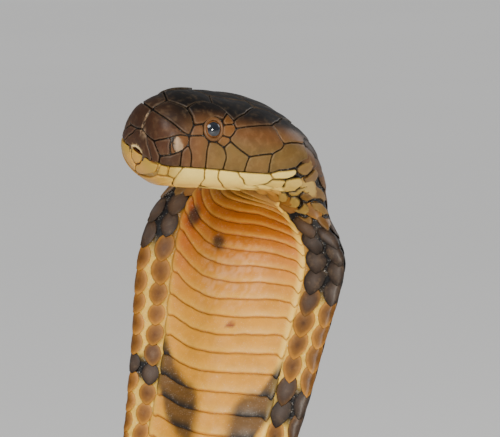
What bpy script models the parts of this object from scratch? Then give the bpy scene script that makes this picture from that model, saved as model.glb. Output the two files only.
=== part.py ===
"""A king cobra, life size and still, reared up with its hood spread.

The whole animal is one bent tube.  Its middle line is a smooth curve through hand-placed points, from the
snout down the raised front third and round two and a half turns on the floor to the tip of the tail, and its
section is drawn from a few widths, depths and roundnesses along that line.  Each node is a length of the tube,
parted from the next by a narrow flat gap.  All sizes are in millimetres, +Z is up, the floor is at z = 0.
"""
import math

import bmesh
import bpy
import numpy as np
from mathutils import Vector
from mathutils.geometry import delaunay_2d_cdt

MM = 0.001

for old in list(bpy.data.objects):
    bpy.data.objects.remove(old)

# Curves


def unit(vector):
    vector = np.asarray(vector, float)
    return vector / np.linalg.norm(vector, axis=-1, keepdims=True)


def through(keys, at):
    """A fair curve through (place, value) keys that never overshoots them."""
    x, y = np.array(keys, float).T
    step = np.diff(x)
    rise = np.diff(y) / step
    same = rise[:-1] * rise[1:] > 0
    w0 = 2 * step[1:] + step[:-1]
    w1 = step[1:] + 2 * step[:-1]
    slope = (w0 + w1) / (w0 / np.where(same, rise[:-1], 1) + w1 / np.where(same, rise[1:], 1))
    lean = np.concatenate([rise[:1], np.where(same, slope, 0.0), rise[-1:]])
    at = np.clip(np.asarray(at, float), x[0], x[-1])
    i = np.clip(np.searchsorted(x, at, side="right") - 1, 0, len(step) - 1)
    t = (at - x[i]) / step[i]
    return (y[i] * (1 + 2 * t) * (1 - t) ** 2 + y[i + 1] * t * t * (3 - 2 * t)
            + step[i] * t * (1 - t) * (lean[i] * (1 - t) - lean[i + 1] * t))


def smooth_line(points, count):
    """Points along a natural cubic spline through the given rows, evenly spaced in its parameter."""
    rows = np.array(points, float)
    n = len(rows)
    chord = np.concatenate([[0], np.cumsum(np.linalg.norm(np.diff(rows, axis=0), axis=1) ** 0.5)])
    h = np.diff(chord)
    matrix = np.eye(n)
    right = np.zeros_like(rows)
    for i in range(1, n - 1):
        matrix[i, i - 1:i + 2] = h[i - 1], 2 * (h[i - 1] + h[i]), h[i]
        right[i] = 6 * ((rows[i + 1] - rows[i]) / h[i] - (rows[i] - rows[i - 1]) / h[i - 1])
    m = np.linalg.solve(matrix, right)
    u = np.linspace(0, chord[-1], count)
    i = np.clip(np.searchsorted(chord, u, side="right") - 1, 0, n - 2)
    a, b, k = (chord[i + 1] - u)[:, None], (u - chord[i])[:, None], h[i][:, None]
    return ((m[i] * a ** 3 + m[i + 1] * b ** 3) / (6 * k) + (rows[i] / k - m[i] * k / 6) * a
            + (rows[i + 1] / k - m[i + 1] * k / 6) * b)


# The pose

HOOD_HEIGHT = 365.0                                     # middle of the hood above the floor
CENTRE = (-2.65, -35.47)                                # shift that puts the middle of the whole box over the origin
FLAT = 1.0                                              # how far the belly is pressed flat where it lies on the floor

HEAD_TURN, HEAD_TILT, HEAD_LIFT, HOOD_TURN = map(math.radians, (36, 17, 3.5, 16))
ahead = np.array([-math.cos(HEAD_TURN) * math.cos(HEAD_LIFT), -math.sin(HEAD_TURN) * math.cos(HEAD_LIFT),
                  math.sin(HEAD_LIFT)])
level_left = unit(np.cross([0, 0, 1], ahead))
level_up = np.cross(ahead, level_left)
head_left = level_left * math.cos(HEAD_TILT) - level_up * math.sin(HEAD_TILT)
head_up = level_up * math.cos(HEAD_TILT) + level_left * math.sin(HEAD_TILT)
belly = np.array([-math.sin(HOOD_TURN), -math.cos(HOOD_TURN), 0.0])
hood_left = np.array([math.cos(HOOD_TURN), -math.sin(HOOD_TURN), 0.0])
SNOUT = np.array([-37.4, -40.0, 41.0 + HOOD_HEIGHT])    # the notch for the tongue, at the front of the lips


def in_head(back, left, up):
    """A place in the head: millimetres back from the notch, to the snake's left, and up from the lips."""
    return SNOUT - ahead * back + head_left * left + head_up * up


# place of the middle line, the way the snake's back faces there, and how far its sides have turned to the hood's
RAISED = [
    (in_head(0, 0, 0), head_up, 0), (in_head(12, 0, 0), head_up, 0), (in_head(24, 0, 0), head_up, 0),
    (in_head(36, 0, 0), head_up, 0), (in_head(47, 0, 0), head_up, 0),
    (in_head(57, -1.5, -3), head_up - 0.3 * ahead, 0.05),
    (in_head(64, -5.5, -11), head_up - 0.9 * ahead, 0.25),
    (in_head(65, -11, -22), -0.8 * ahead + 0.2 * head_up - 0.4 * belly, 0.5),
    ((2, 4, HOOD_HEIGHT + 4), -0.6 * belly - 0.4 * ahead, 0.8),
    ((0, 1, HOOD_HEIGHT - 10), -0.8 * belly - 0.2 * ahead, 0.95),
    ((-4, -4, HOOD_HEIGHT - 32), -belly, 1), ((-7.8, -9, HOOD_HEIGHT - 52), -belly, 1),
    ((-12.5, -14, HOOD_HEIGHT - 74), -belly, 1), ((-20.5, -21, HOOD_HEIGHT - 120), -belly, 1),
    ((-24, -22, 185), -belly, 1), ((-24, -17, 120), (0.2, 1, 0.1), 1), ((-22, -8, 80), (0.1, 0.9, 0.4), 1),
    ((-19, 25, 39), (0.05, 0.5, 0.9), 1), ((-13, 82, 22), (0, 0.1, 1), 1)]
ON_FLOOR = [
    (0, 136), (42, 176), (104, 179), (158, 140), (181, 70), (172, -8), (125, -72), (45, -108), (-48, -116),
    (-130, -92), (-184, -30), (-196, 52), (-165, 135), (-95, 200), (0, 238), (100, 252), (187, 228), (243, 158),
    (262, 70), (248, -20), (205, -98), (135, -152), (45, -183), (-60, -190), (-160, -176), (-232, -128),
    (-268, -52), (-272, 40), (-248, 128), (-200, 190)]

rows = [np.concatenate([np.add(place, (*CENTRE, 0)), unit(back), unit(head_left * (1 - turn) + hood_left * turn)])
        for place, back, turn in RAISED]
rows += [np.array([x + CENTRE[0], y + CENTRE[1], 24, 0, 0, 1, 0, 0, 0]) for x, y in ON_FLOOR]
line = smooth_line(rows, 16000)

# The section, by length from the snout

LENGTH = 3080.0
VENT = 2560.0
WIDE = [(0, 15.2), (6, 15.2), (10, 15.6), (16, 16.6), (24, 18.2), (34, 20.8), (46, 22.8), (56, 23.4), (66, 24.2),
        (74, 28), (84, 34.3), (94, 38.7), (106, 40.3), (118, 39.4), (136, 36.8), (157, 34.4), (180, 31.7),
        (227, 27.5), (270, 24.5), (330, 23), (450, 23), (700, 25), (1200, 28), (1700, 28), (2150, 25), (2450, 20.5),
        (2600, 16.5), (2800, 10.5), (3000, 4.6), (LENGTH, 1.6)]
TALL = [(0, 17.2), (4, 17.8), (8, 19.2), (12, 20.8), (17, 21.7), (24, 21.3), (34, 20.1), (46, 18.5), (58, 16.7),
        (68, 15.5), (80, 15), (120, 15), (150, 14.5), (200, 15), (260, 18), (330, 20.5), (450, 21), (700, 23),
        (1200, 26), (1700, 26), (2150, 23), (2450, 19), (2600, 15.5), (2800, 10), (3000, 4.6), (LENGTH, 1.6)]
DEEP = [(0, 9.5), (6, 10.5), (16, 11), (24, 11), (36, 10.8), (48, 10.3), (58, 9.8), (68, 9.5), (80, 11), (95, 13),
        (120, 15), (150, 15.5), (200, 16), (260, 17), (330, 19), (450, 19.5), (700, 21), (1200, 24), (1700, 24),
        (2150, 21), (2450, 17), (2600, 14), (2800, 9), (3000, 4.4), (LENGTH, 1.8)]
SQUARE = [(0, 2.3), (16, 2.6), (34, 2.8), (58, 2.6), (80, 2.2), (LENGTH, 2.1)]      # 2 is an ellipse, more is boxier
FLAP = [(0, 0), (62, 0), (84, 0.6), (104, 1), (170, 1), (230, 0.6), (300, 0)]       # how far the hood is thinned
CURL = [(0, 0), (70, 0), (100, 5), (170, 5), (240, 2), (300, 0)]                    # edges of the hood held forward
NOSE, BLUNT = 9, 3.5                                    # length of the rounded snout, and how square its front is
JAW_BACK = 0.4                                          # the lower jaw's front, behind the upper lip's

middle = line[:, :3].copy()
for _ in range(3):                                      # the lying part is let down until its belly is pressed flat
    along = np.concatenate([[0], np.cumsum(np.linalg.norm(np.diff(middle, axis=0), axis=1))])
    lying = np.clip((along - 430) / 90, 0, 1)
    lying = lying ** 2 * (3 - 2 * lying)
    middle[:, 2] = line[:, 2] * (1 - lying) + (through(DEEP, along) - FLAT) * lying
along *= LENGTH / along[-1]


def sample(table, s):
    return np.stack([np.interp(s, along, table[:, i]) for i in range(table.shape[1])], -1)


def axes_at(s):
    """The middle line's place at s, and the unit vectors to the snake's left and to its back."""
    s = np.asarray(s, float)
    tailward = unit(sample(middle, s + 0.4) - sample(middle, s - 0.4))
    back = sample(line[:, 3:6], s)
    free_left = unit(np.cross(tailward, back))
    held_left = sample(line[:, 6:9], s)
    held_left = held_left / np.maximum(np.linalg.norm(held_left, axis=-1, keepdims=True), 1e-9)
    free = np.clip((s - 120) / 60, 0, 1)[..., None]
    left = unit(held_left * (1 - free) + free_left * free)
    held_back = unit(back - left * (back * left).sum(-1, keepdims=True))
    free_back = unit(np.cross(left, tailward))
    return sample(middle, s), left, unit(held_back * (1 - free) + free_back * free)


def snout_taper(s):
    return (1 - np.clip(1 - s / NOSE, 0, 1) ** BLUNT) ** (1 / BLUNT)


def section(s, q):
    """Sideways and upward offsets of the skin; q is 0 on the back, 1 left, 2 on the belly, 3 right, 4 the back."""
    angle = q * math.pi / 2
    cosine, sine = np.cos(angle), np.sin(angle)
    square = through(SQUARE, s)
    wide = through(WIDE, s) * snout_taper(s)
    aside = wide * np.sign(sine) * np.abs(sine) ** (2 / square)
    over = through(TALL, s) * snout_taper(s) * np.abs(cosine) ** (2 / square)
    out = np.clip(np.abs(aside) / np.maximum(wide, 1e-6), 0, 1)
    round_belly = np.abs(cosine) ** (2 / 2.4)
    hood_belly = np.sqrt(1 - out ** 2.5) * (0.36 + 0.64 * np.exp(-1.6 * (out / 0.52) ** 2))
    flap = through(FLAP, s)
    under = -through(DEEP, s) * snout_taper(s - JAW_BACK) * (round_belly * (1 - flap) + hood_belly * flap)
    return aside, np.where(cosine >= 0, over, under) - through(CURL, s) * out ** 2


def skin(s, q):
    """Points on the smooth skin."""
    s, q = np.broadcast_arrays(np.asarray(s, float), np.asarray(q, float))
    place, left, back = axes_at(s)
    aside, up = section(s, q)
    point = place + left * aside[..., None] + back * up[..., None]
    point[..., 2] = np.where(s > 400, np.maximum(point[..., 2], 0.0), point[..., 2])
    return point


# Meshes

materials = {}


def material(name, colour, roughness):
    if name not in materials:
        made = bpy.data.materials.new(name)
        made.use_nodes = True
        shader = made.node_tree.nodes["Principled BSDF"]
        shader.inputs["Base Color"].default_value = (*colour, 1)
        shader.inputs["Roughness"].default_value = roughness
        materials[name] = made
    return materials[name]


animal = bpy.data.collections.new("king cobra")
cutters = bpy.data.collections.new("cutters")
for collection in (animal, cutters):
    bpy.context.scene.collection.children.link(collection)


def solid(name, mesh, finish, home=animal):
    """An object from a bmesh in millimetres."""
    bmesh.ops.triangulate(mesh, faces=[f for f in mesh.faces if len(f.verts) > 4])
    bmesh.ops.recalc_face_normals(mesh, faces=mesh.faces)
    for vert in mesh.verts:
        vert.co *= MM
    data = bpy.data.meshes.new(name)
    mesh.to_mesh(data)
    mesh.free()
    data.materials.append(material(*finish))
    data.shade_smooth()
    data.set_sharp_from_angle(angle=math.radians(35))
    made = bpy.data.objects.new(name, data)
    home.objects.link(made)
    return made


def rings_to_mesh(rings):
    """A closed mesh over rings of equal count, flat at both ends."""
    mesh = bmesh.new()
    grid = [[mesh.verts.new(p) for p in ring] for ring in rings]
    n = len(grid[0])
    for a, b in zip(grid, grid[1:]):
        for i in range(n):
            mesh.faces.new((a[i], a[(i + 1) % n], b[(i + 1) % n], b[i]))
    mesh.faces.new(grid[0])
    mesh.faces.new(grid[-1])
    return mesh


def spaced(start, end, pitch):
    return np.linspace(start, end, max(2, int(round((end - start) / pitch)) + 1))


def apply(target, modifier):
    """Applies the modifier, and keeps only the largest closed surface that it leaves."""
    with bpy.context.temp_override(object=target, active_object=target):
        bpy.ops.object.modifier_apply(modifier=modifier.name)
    mesh = bmesh.new()
    mesh.from_mesh(target.data)
    bmesh.ops.remove_doubles(mesh, verts=mesh.verts, dist=1e-7)
    left, shells = set(mesh.faces), []
    while left:
        shell, edge_of = set(), [left.pop()]
        while edge_of:
            face = edge_of.pop()
            shell.add(face)
            for edge in face.edges:
                for other in edge.link_faces:
                    if other in left:
                        left.remove(other)
                        edge_of.append(other)
        shells.append(shell)
    shells.sort(key=len)
    bmesh.ops.delete(mesh, geom=[face for shell in shells[:-1] for face in shell], context="FACES")
    mesh.to_mesh(target.data)
    mesh.free()


def cut(target, tool):
    """Takes the tool's solid away from the target."""
    modifier = target.modifiers.new("cut", "BOOLEAN")
    modifier.operation = "DIFFERENCE"
    modifier.solver = "EXACT"
    modifier.object = tool
    apply(target, modifier)
    bpy.data.objects.remove(tool)


SKIN = ("snakeskin", (0.30, 0.21, 0.13), 0.5)
HORN = ("head shield", (0.20, 0.13, 0.08), 0.42)
LIP = ("lip scale", (0.80, 0.68, 0.40), 0.45)
EYE = ("eye", (0.02, 0.02, 0.025), 0.08)

GAP = 0.3                                               # between one node and the next

# The head's shields, as a map over the skin

# A shield's corners are given on the left side: millimetres back from the snout along the middle line, and q
CORNERS = {
    "midline_1": (2.6, 0), "midline_2": (8, 0), "midline_3": (25.5, 0), "midline_4": (43.5, 0), "midline_5": (58, 0),
    "nasal_top": (4.4, 0.645), "nostril_back": (6.8, 0.63), "nostril_front": (3.6, 0.75), "nasal_low": (4.2, 0.88),
    "nasal_lip": (1.45, 0.9), "postnasal_top": (10.6, 0.68), "postnasal_rear": (10.5, 0.79),
    "postnasal_low": (8.2, 0.845), "nasal_front_a": (4.1, 0.34), "nasal_front_b": (5.8, 0.47),
    "nasal_front_c": (8, 0.6), "brow_front_low": (12.4, 0.55), "brow_front": (12.3, 0.42), "brow_top": (11.6, 0.26),
    "frontal_front": (10, 0.15), "frontal_a": (15.5, 0.2), "frontal_b": (19.5, 0.165), "frontal_rear": (22.5, 0.185),
    "brow_rear_top": (24.8, 0.235), "brow_rear": (26.8, 0.34), "eye_front_top": (15.9, 0.545),
    "eye_front_low": (16.1, 0.695), "eye_low": (18.2, 0.765), "eye_rear_low": (20.9, 0.765),
    "eye_rear": (23.1, 0.68), "eye_rear_top": (24, 0.535), "eye_top_rear": (24, 0.465), "eye_top": (21.2, 0.435),
    "eye_top_front": (17.8, 0.495), "behind_a": (28.3, 0.455), "behind_b": (28.1, 0.5), "behind_c": (27.5, 0.64),
    "behind_d": (26.1, 0.7), "under_eye": (24.1, 0.82), "temple_front": (28.7, 0.56), "temple_low": (26.3, 0.745),
    "temple_top": (44.8, 0.405), "temple_side": (46, 0.49), "temple_rear": (47.9, 0.665), "temple_notch": (46.8, 0.74),
    "temple_lip": (43.2, 0.82), "temple_mid": (34, 0.885), "crown_side": (35, 0.27), "crown_rear": (43, 0.09),
    "nape_a": (48, 0.1), "nape_b": (51.8, 0.195), "nape_c": (48.8, 0.3), "nape_d": (58, 0.12), "cheek_top": (59, 0.29),
    "cheek_mid": (58, 0.4), "cheek_low": (56.3, 0.545), "jaw_a": (57.6, 0.65), "jaw_b": (58.2, 0.74),
    "jaw_c": (53.5, 0.925), "lip_bend_2": (12.2, 0.9), "lip_bend_3": (17.8, 0.86), "lip_bend_4": (25.6, 0.91),
    "lip_0": (1.5, 1), "lip_1": (8.6, 1), "lip_2": (12.9, 1), "lip_3": (18.5, 1), "lip_4": (25.2, 1), "lip_5": (33.2, 1),
    "lip_6": (42.7, 1), "lip_7": (53, 1)}

# On the front of the snout the corners are millimetres to the left of its middle, and up from the lips
FRONT_CORNERS = {
    "tip_top": (0, 8.2), "tip_side_a": (3.4, 7.3), "tip_side_b": (5.2, 4.6), "tip_side_c": (7.3, 2.9),
    "tip_lip": (9.4, 0), "mouth_notch": (3.2, 0), "mouth_arch": (1.9, 1.2), "mouth_top": (0, 1.6),
    "nasal_front": (7.8, 6.8)}

# The shields of the left side, each the round of its corners
SIDE_SHIELDS = {
    "front_labial": "tip_side_a nasal_front nasal_lip lip_0 tip_lip tip_side_c tip_side_b",
    "internasal": "tip_top tip_side_a nasal_front nasal_top nostril_back postnasal_top nasal_front_c nasal_front_b "
                  "nasal_front_a midline_1",
    "nasal": "nasal_front nasal_top nostril_front nasal_low nasal_lip",
    "postnasal": "nasal_top nostril_back postnasal_top postnasal_rear postnasal_low nasal_low nostril_front",
    "prefrontal": "midline_1 nasal_front_a nasal_front_b nasal_front_c postnasal_top brow_front_low brow_front "
                  "brow_top frontal_front midline_2",
    "preocular": "brow_front_low eye_front_top eye_front_low postnasal_top",
    "brow": "brow_front_low brow_front brow_top frontal_a frontal_b frontal_rear brow_rear_top brow_rear "
            "eye_top_rear eye_top eye_top_front eye_front_top",
    "behind_eye_1": "eye_top_rear brow_rear behind_a behind_b eye_rear_top",
    "behind_eye_2": "eye_rear_top behind_b temple_front behind_c behind_d eye_rear",
    "behind_eye_3": "eye_rear behind_d temple_low under_eye eye_rear_low",
    "parietal": "midline_3 frontal_rear brow_rear_top brow_rear behind_a crown_side crown_rear midline_4",
    "upper_temple": "behind_a crown_side crown_rear nape_a nape_b nape_c temple_top temple_front behind_b",
    "temple": "temple_front temple_top temple_side temple_rear temple_notch temple_lip temple_mid temple_low "
              "behind_d behind_c",
    "rear_temple": "temple_top nape_c nape_b cheek_top cheek_mid cheek_low temple_rear temple_side",
    "occipital": "midline_4 crown_rear nape_a nape_b nape_d midline_5",
    "cheek": "temple_rear cheek_low jaw_a jaw_b jaw_c lip_7 lip_6 temple_lip temple_notch",
    "labial_1": "lip_0 nasal_lip nasal_low postnasal_low lip_1",
    "labial_2": "lip_1 postnasal_low postnasal_rear lip_bend_2 lip_2",
    "labial_3": "lip_2 lip_bend_2 postnasal_rear postnasal_top eye_front_low eye_low lip_bend_3 lip_3",
    "labial_4": "lip_3 lip_bend_3 eye_low eye_rear_low under_eye lip_bend_4 lip_4",
    "labial_5": "lip_4 lip_bend_4 under_eye temple_low temple_mid lip_5",
    "labial_6": "lip_5 temple_mid temple_lip lip_6"}
# Half of each shield that lies across the middle of the head; its right half is the same, mirrored
MIDDLE_SHIELDS = {
    "rostral": "tip_top tip_side_a tip_side_b tip_side_c tip_lip mouth_notch mouth_arch mouth_top",
    "frontal": "midline_2 frontal_front brow_top frontal_a frontal_b frontal_rear midline_3"}

# The lower lip and chin, in the same way
CORNERS.update({
    "low_0": (2.4, 1), "low_1": (5, 1), "low_2": (10, 1), "low_3": (18.5, 1), "low_4": (24, 1), "low_5": (30.8, 1),
    "low_6": (43.5, 1), "low_7": (54, 1), "chin_0": (2.8, 1.3), "chin_1": (4.8, 1.2), "chin_2": (8.2, 1.25),
    "chin_bend": (19.6, 1.2), "chin_3": (20, 1.44), "chin_4": (27, 1.3), "chin_5": (31, 1.5), "chin_6": (34, 1.14),
    "chin_7": (37, 1.33), "chin_8": (43.5, 1.2), "chin_9": (45, 1.08), "chin_10": (55, 1.05), "gular_a": (12, 1.62),
    "gular_b": (13, 1.98), "gular_c": (23, 1.7), "gular_d": (24, 1.98), "gular_e": (4.6, 1.95), "gular_f": (4, 1.6)})
JAW_SHIELDS = {
    "lower_labial_2": "low_0 low_1 chin_1 chin_0",
    "lower_labial_3": "low_1 low_2 chin_2 chin_1",
    "lower_labial_4": "low_2 low_3 chin_bend chin_3 gular_a chin_2",
    "lower_labial_5": "low_3 low_4 chin_4 chin_5 chin_3 chin_bend",
    "lower_labial_6": "low_4 low_5 chin_6 chin_7 chin_5 chin_4",
    "lower_labial_7": "low_5 low_6 chin_9 chin_8 chin_7 chin_6",
    "lower_labial_8": "low_6 low_7 chin_10 chin_9",
    "chin_shield_1": "gular_e gular_f gular_a gular_b",
    "chin_shield_2": "gular_b gular_a gular_c gular_d"}

GROOVE = 0.5                                            # width of the groove between two shields
LONG_EDGE = 5.5                                         # an edge longer than this follows the skin in shorter steps
NEARLY_STRAIGHT = 0.95                                  # cosine of a corner's turn
SHIELD_RAISED, BROW_RAISED, SHIELD_ROOT = 0.45, 1.1, 0.9
FRONT_SPAN = 13.0                                       # share of the map that the snout's front takes
taper_table = np.linspace(0, 1, 3000) ** 3 * 100
span_table = taper_table + FRONT_SPAN * snout_taper(taper_table)


def to_map(s, q):
    """A flat map of the head's skin, with the middle of the snout at its centre."""
    out = s + FRONT_SPAN * snout_taper(s)
    return np.stack([out * np.sin(q * math.pi / 2), out * np.cos(q * math.pi / 2)], -1)


def from_map(spot):
    s = np.interp(np.hypot(spot[..., 0], spot[..., 1]), span_table, taper_table)
    return skin(s, np.arctan2(spot[..., 0], spot[..., 1]) * 2 / math.pi)


def front_corner(left, up):
    """The map's place for a point of the snout's front, given from the middle of the lips."""
    square = SQUARE[0][1] if up >= 0 else 2.4
    tall = TALL[0][1] if up >= 0 else DEEP[0][1]
    a, b = abs(left) / WIDE[0][1], abs(up) / tall
    share = (a ** square + b ** square) ** (1 / square)
    s = NOSE * (1 - (1 - share ** BLUNT) ** (1 / BLUNT))
    q = math.atan2(a ** (square / 2), b ** (square / 2)) * 2 / math.pi
    return to_map(np.array(s), np.array(q if up >= 0 else 2 - q))


def corner(name):
    if name in FRONT_CORNERS:
        return front_corner(*FRONT_CORNERS[name])
    s, q = CORNERS[name]
    return to_map(np.array(float(s)), np.array(float(q)))


def skin_normal(spot):
    """The skin's outward direction at places of the map."""
    step = 0.02
    across = from_map(spot + (step, 0)) - from_map(spot - (step, 0))
    onward = from_map(spot + (0, step)) - from_map(spot - (0, step))
    return unit(np.cross(across, onward))


def round_corners(outline, cut_back):
    """Each corner of a closed outline becomes two, a little way along its edges; straight places stay as they are."""
    points = []
    for before, here, after in zip(np.roll(outline, 1, axis=0), outline, np.roll(outline, -1, axis=0)):
        arriving, leaving = here - before, after - here
        if unit(arriving) @ unit(leaving) > NEARLY_STRAIGHT:
            points.append(here)
            continue
        points.append(here - unit(arriving) * min(cut_back, 0.3 * np.linalg.norm(arriving)))
        points.append(here + unit(leaving) * min(cut_back, 0.3 * np.linalg.norm(leaving)))
    return np.array(points)


def shrunk(outline, inset):
    """A closed outline that runs left-handed round its inside, moved inwards."""
    along_edge = unit(np.roll(outline, -1, axis=0) - outline)
    inward = np.stack([-along_edge[:, 1], along_edge[:, 0]], 1)
    both = inward + np.roll(inward, 1, axis=0)
    return outline + both * (inset / np.maximum(0.5, (both * inward).sum(1)))[:, None]


def spread(outline, pitch):
    """The outline with points added so that none of its steps is much over the pitch."""
    points = []
    for a, b in zip(outline, np.roll(outline, -1, axis=0)):
        count = max(1, int(round(np.linalg.norm(b - a) / pitch)))
        points += [a + (b - a) * k / count for k in range(count)]
    return np.array(points)


def inside(points, outline):
    """Whether each point lies in the outline."""
    a, b = outline, np.roll(outline, -1, axis=0)
    x, y = points[:, :1], points[:, 1:]
    crosses = (a[:, 1] > y) != (b[:, 1] > y)
    with np.errstate(divide="ignore", invalid="ignore"):
        at = a[:, 0] + (y - a[:, 1]) / (b[:, 1] - a[:, 1]) * (b[:, 0] - a[:, 0])
    return (crosses & (x < at)).sum(1) % 2 == 1


def largest_patch(faces):
    """The largest set of triangles that hang together by their edges, without the crossed tips of sharp corners."""
    left, patches = list(faces), []
    while left:
        patch, edges = [], set()
        grown = [left.pop()]
        while grown:
            patch += grown
            edges = {frozenset((face[i - 1], face[i])) for face in grown for i in range(3)}
            grown = [f for f in left if any(frozenset((f[i - 1], f[i])) in edges for i in range(3))]
            left = [f for f in left if f not in grown]
        patches.append(patch)
    return max(patches, key=len)


def shield(spots, raised, pitch=4.5):
    """One raised plate over the skin, as a closed bmesh; the spots are its corners on the head's map."""
    spots = spread(spots, LONG_EDGE)
    corners = from_map(spots)
    middle_spot = spots.mean(0)
    centre = from_map(middle_spot)
    normal = unit(skin_normal(spots).mean(0))
    east = unit(np.cross(normal, head_up + 0.3 * ahead))
    north = np.cross(normal, east)
    flat = np.stack([(corners - centre) @ east, (corners - centre) @ north], 1)
    turns = (flat[:, 0] * np.roll(flat[:, 1], -1) - np.roll(flat[:, 0], -1) * flat[:, 1]).sum()
    if turns < 0:
        flat, spots = flat[::-1], spots[::-1]
    outline = spread(shrunk(round_corners(flat, 0.7), GROOVE / 2), pitch)
    low, high = outline.min(0), outline.max(0)
    grid = np.array([(x + (0.5 if row % 2 else 0) * pitch, y)
                     for row, y in enumerate(np.arange(low[1], high[1], pitch * 0.87))
                     for x in np.arange(low[0], high[0], pitch)])
    core = shrunk(round_corners(flat, 0.7), GROOVE / 2 + pitch * 0.55)
    grid = grid[inside(grid, core) & inside(grid, outline)]
    points = [Vector(p) for p in np.concatenate([outline, grid])]
    points, _, faces, *_ = delaunay_2d_cdt(points, [], [list(range(len(outline)))], 1, 1e-4)
    points = np.array([p[:] for p in points])
    faces = largest_patch(faces)
    used = sorted({i for face in faces for i in face})
    faces = [[used.index(i) for i in face] for face in faces]
    points = points[used]
    sides = {(face[i - 1], face[i]) for face in faces for i in range(3)}
    rim = [(i, j) for i, j in sides if (j, i) not in sides]

    # the flat places are carried to the map by a few steps of Newton's rule, starting between the corners
    reach = np.linalg.norm(points[:, None] - flat[None], axis=2) + 0.3
    share = reach ** -2
    spot = (share @ spots) / share.sum(1, keepdims=True)
    for _ in range(12):
        place = from_map(spot)
        miss = points - np.stack([(place - centre) @ east, (place - centre) @ north], 1)
        step = 0.01
        slope = []
        for axis in ((step, 0), (0, step)):
            moved = from_map(spot + axis) - place
            slope.append(np.stack([moved @ east, moved @ north], 1) / step)
        (a, c), (b, d) = slope[0].T, slope[1].T
        det = a * d - b * c
        move = np.stack([(d * miss[:, 0] - b * miss[:, 1]) / det, (a * miss[:, 1] - c * miss[:, 0]) / det], 1)
        spot = spot + np.clip(move, -2, 2)
    place, out = from_map(spot), skin_normal(spot)
    up = np.full(len(points), raised)
    up[[i for i, _ in rim]] = min(raised, SHIELD_RAISED) * 0.8
    top, foot = place + out * up[:, None], place - out * SHIELD_ROOT
    mesh = bmesh.new()
    upper = [mesh.verts.new(p) for p in top]
    lower = [mesh.verts.new(p) for p in foot]
    for face in faces:
        mesh.faces.new([upper[i] for i in face])
        mesh.faces.new([lower[i] for i in reversed(face)])
    for i, j in rim:
        mesh.faces.new((upper[j], upper[i], lower[i], lower[j]))
    return mesh


def shields(side_shields, middle_shields, finish):
    """Every shield of one node, left, right and middle, as objects among the cutters."""
    made = []
    for name, corners in side_shields.items():
        spots = np.array([corner(c) for c in corners.split()])
        raised = BROW_RAISED if name == "brow" else SHIELD_RAISED
        made.append(solid(name + "_left", shield(spots, raised), finish, cutters))
        made.append(solid(name + "_right", shield(spots * (-1, 1), raised), finish, cutters))
    for name, corners in middle_shields.items():
        half = np.array([corner(c) for c in corners.split()])
        other = [spot * (-1, 1) for spot in half[::-1] if abs(spot[0]) > 1e-6]
        made.append(solid(name, shield(np.array([*half, *other]), SHIELD_RAISED), finish, cutters))
    return made


def fuse(target, pieces):
    """One union of the target with all the pieces, which are then removed."""
    heap = bpy.data.collections.new("pieces")
    for piece in pieces:
        cutters.objects.unlink(piece)
        heap.objects.link(piece)
    modifier = target.modifiers.new("fuse", "BOOLEAN")
    modifier.operation = "UNION"
    modifier.operand_type = "COLLECTION"
    modifier.solver = "EXACT"
    modifier.collection = heap
    apply(target, modifier)
    for piece in pieces:
        bpy.data.objects.remove(piece)
    bpy.data.collections.remove(heap)


# Head and lower jaw

HEAD_END = 74.0
JAW_CORNER = 61.0
HEAD_ROUND = 32
quarter = HEAD_ROUND // 4
head_places = np.concatenate([[0.02, 0.3, 1, 2.2, 4, 6.4], spaced(9, JAW_CORNER - GAP, 4.3),
                              spaced(JAW_CORNER, HEAD_END - GAP / 2, 3)])


def head_ring(s):
    """The head's own ring; in front of the jaw's corner its under side is the flat of the closed mouth."""
    q = np.arange(HEAD_ROUND) * 4 / HEAD_ROUND
    if s >= JAW_CORNER:
        return skin(s, q)
    place, left, back = axes_at(s)
    aside, up = section(np.full_like(q, s), q)
    up = np.where(np.cos(q * math.pi / 2) > 1e-6, np.maximum(up, GAP / 2), GAP / 2)
    return place + left * aside[:, None] + back * up[:, None]


def jaw_ring(s):
    """The lower jaw's ring, flat on top where it meets the upper lips."""
    q = np.linspace(1, 3, quarter * 2 + 1)
    over = np.linspace(1, -1, quarter)[1:-1]
    place, left, back = axes_at(s)
    aside, up = section(np.full_like(q, s), q)
    up = np.minimum(up, -GAP / 2)
    aside = np.concatenate([aside, -aside.max() * over])
    up = np.concatenate([up, np.full(len(over), -GAP / 2)])
    return place + left * aside[:, None] + back * up[:, None]


head = solid("head", rings_to_mesh([head_ring(s) for s in head_places]), HORN)
fuse(head, shields(SIDE_SHIELDS, MIDDLE_SHIELDS, HORN))
jaw_places = np.concatenate([[0.45, 0.8, 1.5, 2.8, 4.6, 6.8], spaced(9.4, JAW_CORNER - 2 * GAP, 5)])
jaw = solid("lower_jaw", rings_to_mesh([jaw_ring(s) for s in jaw_places]), LIP)
fuse(jaw, shields(JAW_SHIELDS, {}, LIP))

# Eyes and nostrils

EYE_PLACE, EYE_SIDE = 19.8, 0.61
EYE_RADIUS = 3.7
EYE_SUNK = 2.2                                          # its middle lies this far inside the skin
NOSTRIL_PLACE, NOSTRIL_SIDE = 4.7, 0.755
NOSTRIL_WIDE, NOSTRIL_TALL, NOSTRIL_DEEP = 1.0, 2.1, 2.0


def ball(name, at, side, sunk, radii, finish, home=animal):
    """A round or oval solid set in the skin; its radii run onwards, upwards and outwards."""
    spot = to_map(np.array(at[0]), np.array(at[1] * side))
    out = skin_normal(spot)
    onward = unit(np.cross(head_up, out))
    upward = np.cross(out, onward)
    centre = from_map(spot) - out * sunk
    mesh = bmesh.new()
    bmesh.ops.create_icosphere(mesh, subdivisions=3 if home is animal else 2, radius=1)
    for vert in mesh.verts:
        x, y, z = vert.co
        vert.co = centre + onward * (x * radii[0]) + upward * (y * radii[1]) + out * (z * radii[2])
    return solid(name, mesh, finish, home)


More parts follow.
